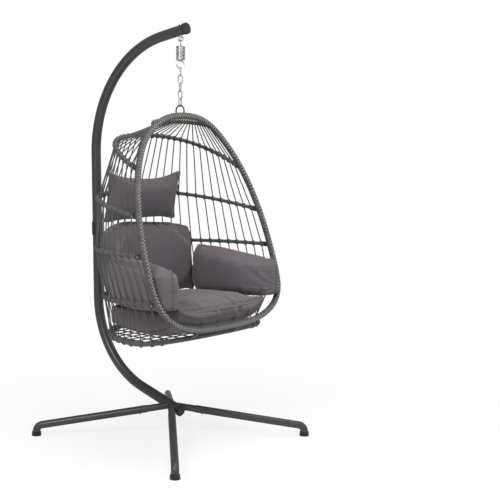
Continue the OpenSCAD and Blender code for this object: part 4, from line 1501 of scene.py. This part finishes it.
@dataclass
class Studio:
    """A plain pale floor, soft lamps and the camera."""

    eye: tuple[float, float, float] = (-3.534, -3.3706, 1.415)
    heading: float = 46.69
    dip: float = 6.083
    roll: float = 0.531
    lens_px: float = 1033.4
    shift: float = 0.155
    room_light: float = 0.3
    floor_radius: float = 14.0

    def camera(self) -> None:
        """Sets the camera at the viewing angle."""
        data = bpy.data.cameras.new("view")
        data.sensor_width = 36
        data.lens = self.lens_px / 500 * 36
        data.shift_x = self.shift
        data.clip_end = 60
        camera = bpy.data.objects.new("view", data)
        bpy.context.scene.collection.objects.link(camera)
        az, dip = math.radians(self.heading), math.radians(self.dip)
        ahead = Vector((math.sin(az) * math.cos(dip), math.cos(az) * math.cos(dip), -math.sin(dip)))
        turn = ahead.to_track_quat("-Z", "Y").to_matrix().to_4x4()
        camera.matrix_world = (
            Matrix.Translation(self.eye) @ turn @ Matrix.Rotation(math.radians(self.roll), 4, "Z")
        )
        bpy.context.scene.camera = camera

    def floor(self) -> None:
        """Lays the floor, white to the camera but for the chair's shadow."""
        bm = bmesh.new()
        bmesh.ops.create_circle(bm, cap_ends=True, radius=self.floor_radius, segments=64)
        mesh = bpy.data.meshes.new("floor")
        bm.to_mesh(mesh)
        bm.free()
        bench = Bench("pale_floor")
        rays = bench.node("ShaderNodeLightPath", output="Is Camera Ray")
        away = bench.node(
            "ShaderNodeVectorMath", {"operation": "LENGTH"}, {0: bench.place()}, "Value"
        )
        fade = bench.node(
            "ShaderNodeMapRange",
            {"interpolation_type": "SMOOTHSTEP"},
            {"Value": away, "From Min": 0.5, "From Max": 2.2, "To Min": 0.8, "To Max": 1.0},
        )
        glow = bench.node(
            "ShaderNodeEmission", inputs={"Color": (1.0, 1.0, 1.0), "Strength": 1.0}
        )
        matt = bench.node(
            "ShaderNodeBsdfDiffuse", inputs={"Color": (0.86, 0.86, 0.86)}
        )
        mixed = bench.node("ShaderNodeMixShader", inputs={0: rays * fade, 1: matt, 2: glow})
        bench.node("ShaderNodeOutputMaterial", inputs={"Surface": mixed})
        mesh.materials.append(bench.material)
        floor = bpy.data.objects.new("floor", mesh)
        bpy.context.scene.collection.objects.link(floor)

    def lamp(
        self, name: str, at: Sequence[float], aim: Sequence[float], size: float, power: float
    ) -> None:
        """Adds one soft lamp.

        Args:
            name: the lamp's name.
            at: where it stands.
            aim: what it points at.
            size: its width in metres.
            power: its strength in watts.
        """
        data = bpy.data.lights.new(name, "AREA")
        data.shape = "DISK"
        data.size = size
        data.energy = power
        lamp = bpy.data.objects.new(name, data)
        bpy.context.scene.collection.objects.link(lamp)
        ahead = Vector(aim) - Vector(at)
        turn = ahead.to_track_quat("-Z", "Y").to_matrix().to_4x4()
        lamp.matrix_world = Matrix.Translation(at) @ turn

    def sky(self) -> None:
        """Fills the room with even light, white behind the chair."""
        bench = Bench("room", world=True)
        bpy.context.scene.world = bench.material
        rays = [
            bench.node("ShaderNodeLightPath", output=f"Is {kind} Ray")
            for kind in ("Camera", "Transmission")
        ]
        seen = bench.node("ShaderNodeMath", {"operation": "MAXIMUM"}, {0: rays[0], 1: rays[1]})
        dim, white = (
            bench.node("ShaderNodeBackground", inputs={"Color": (1.0, 1.0, 1.0), "Strength": k})
            for k in (self.room_light, 1.0)
        )
        mixed = bench.node("ShaderNodeMixShader", inputs={0: seen, 1: dim, 2: white})
        bench.node("ShaderNodeOutputWorld", inputs={"Surface": mixed})

    def build(self) -> None:
        """Lays the floor and hangs the lamps."""
        bpy.context.scene.view_settings.view_transform = "Standard"
        self.floor()
        self.sky()
        self.lamp("key", (-3.4, -0.9, 3.2), (0, -0.1, 0.9), 1.8, 118)
        self.lamp("front", (-0.4, -4.2, 2.6), (0, -0.1, 0.9), 2.4, 32)
        self.lamp("right", (3.4, -1.6, 2.2), (0, -0.1, 1.0), 2.0, 30)
        self.lamp("top", (0.2, -0.9, 4.6), (0, -0.1, 0.6), 2.4, 104)


def main() -> None:
    """Builds and dresses the whole chair."""
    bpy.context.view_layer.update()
    studio = Studio()
    studio.camera()
    TieStrings().build()
    studio.build()
    dress_nodes()
    WovenFrame().build()
    CordHoops().build()
    CordNet().build()
    SpringCoil().build()
    stuff(make_cushions())


if __name__ == "__main__":
    main()
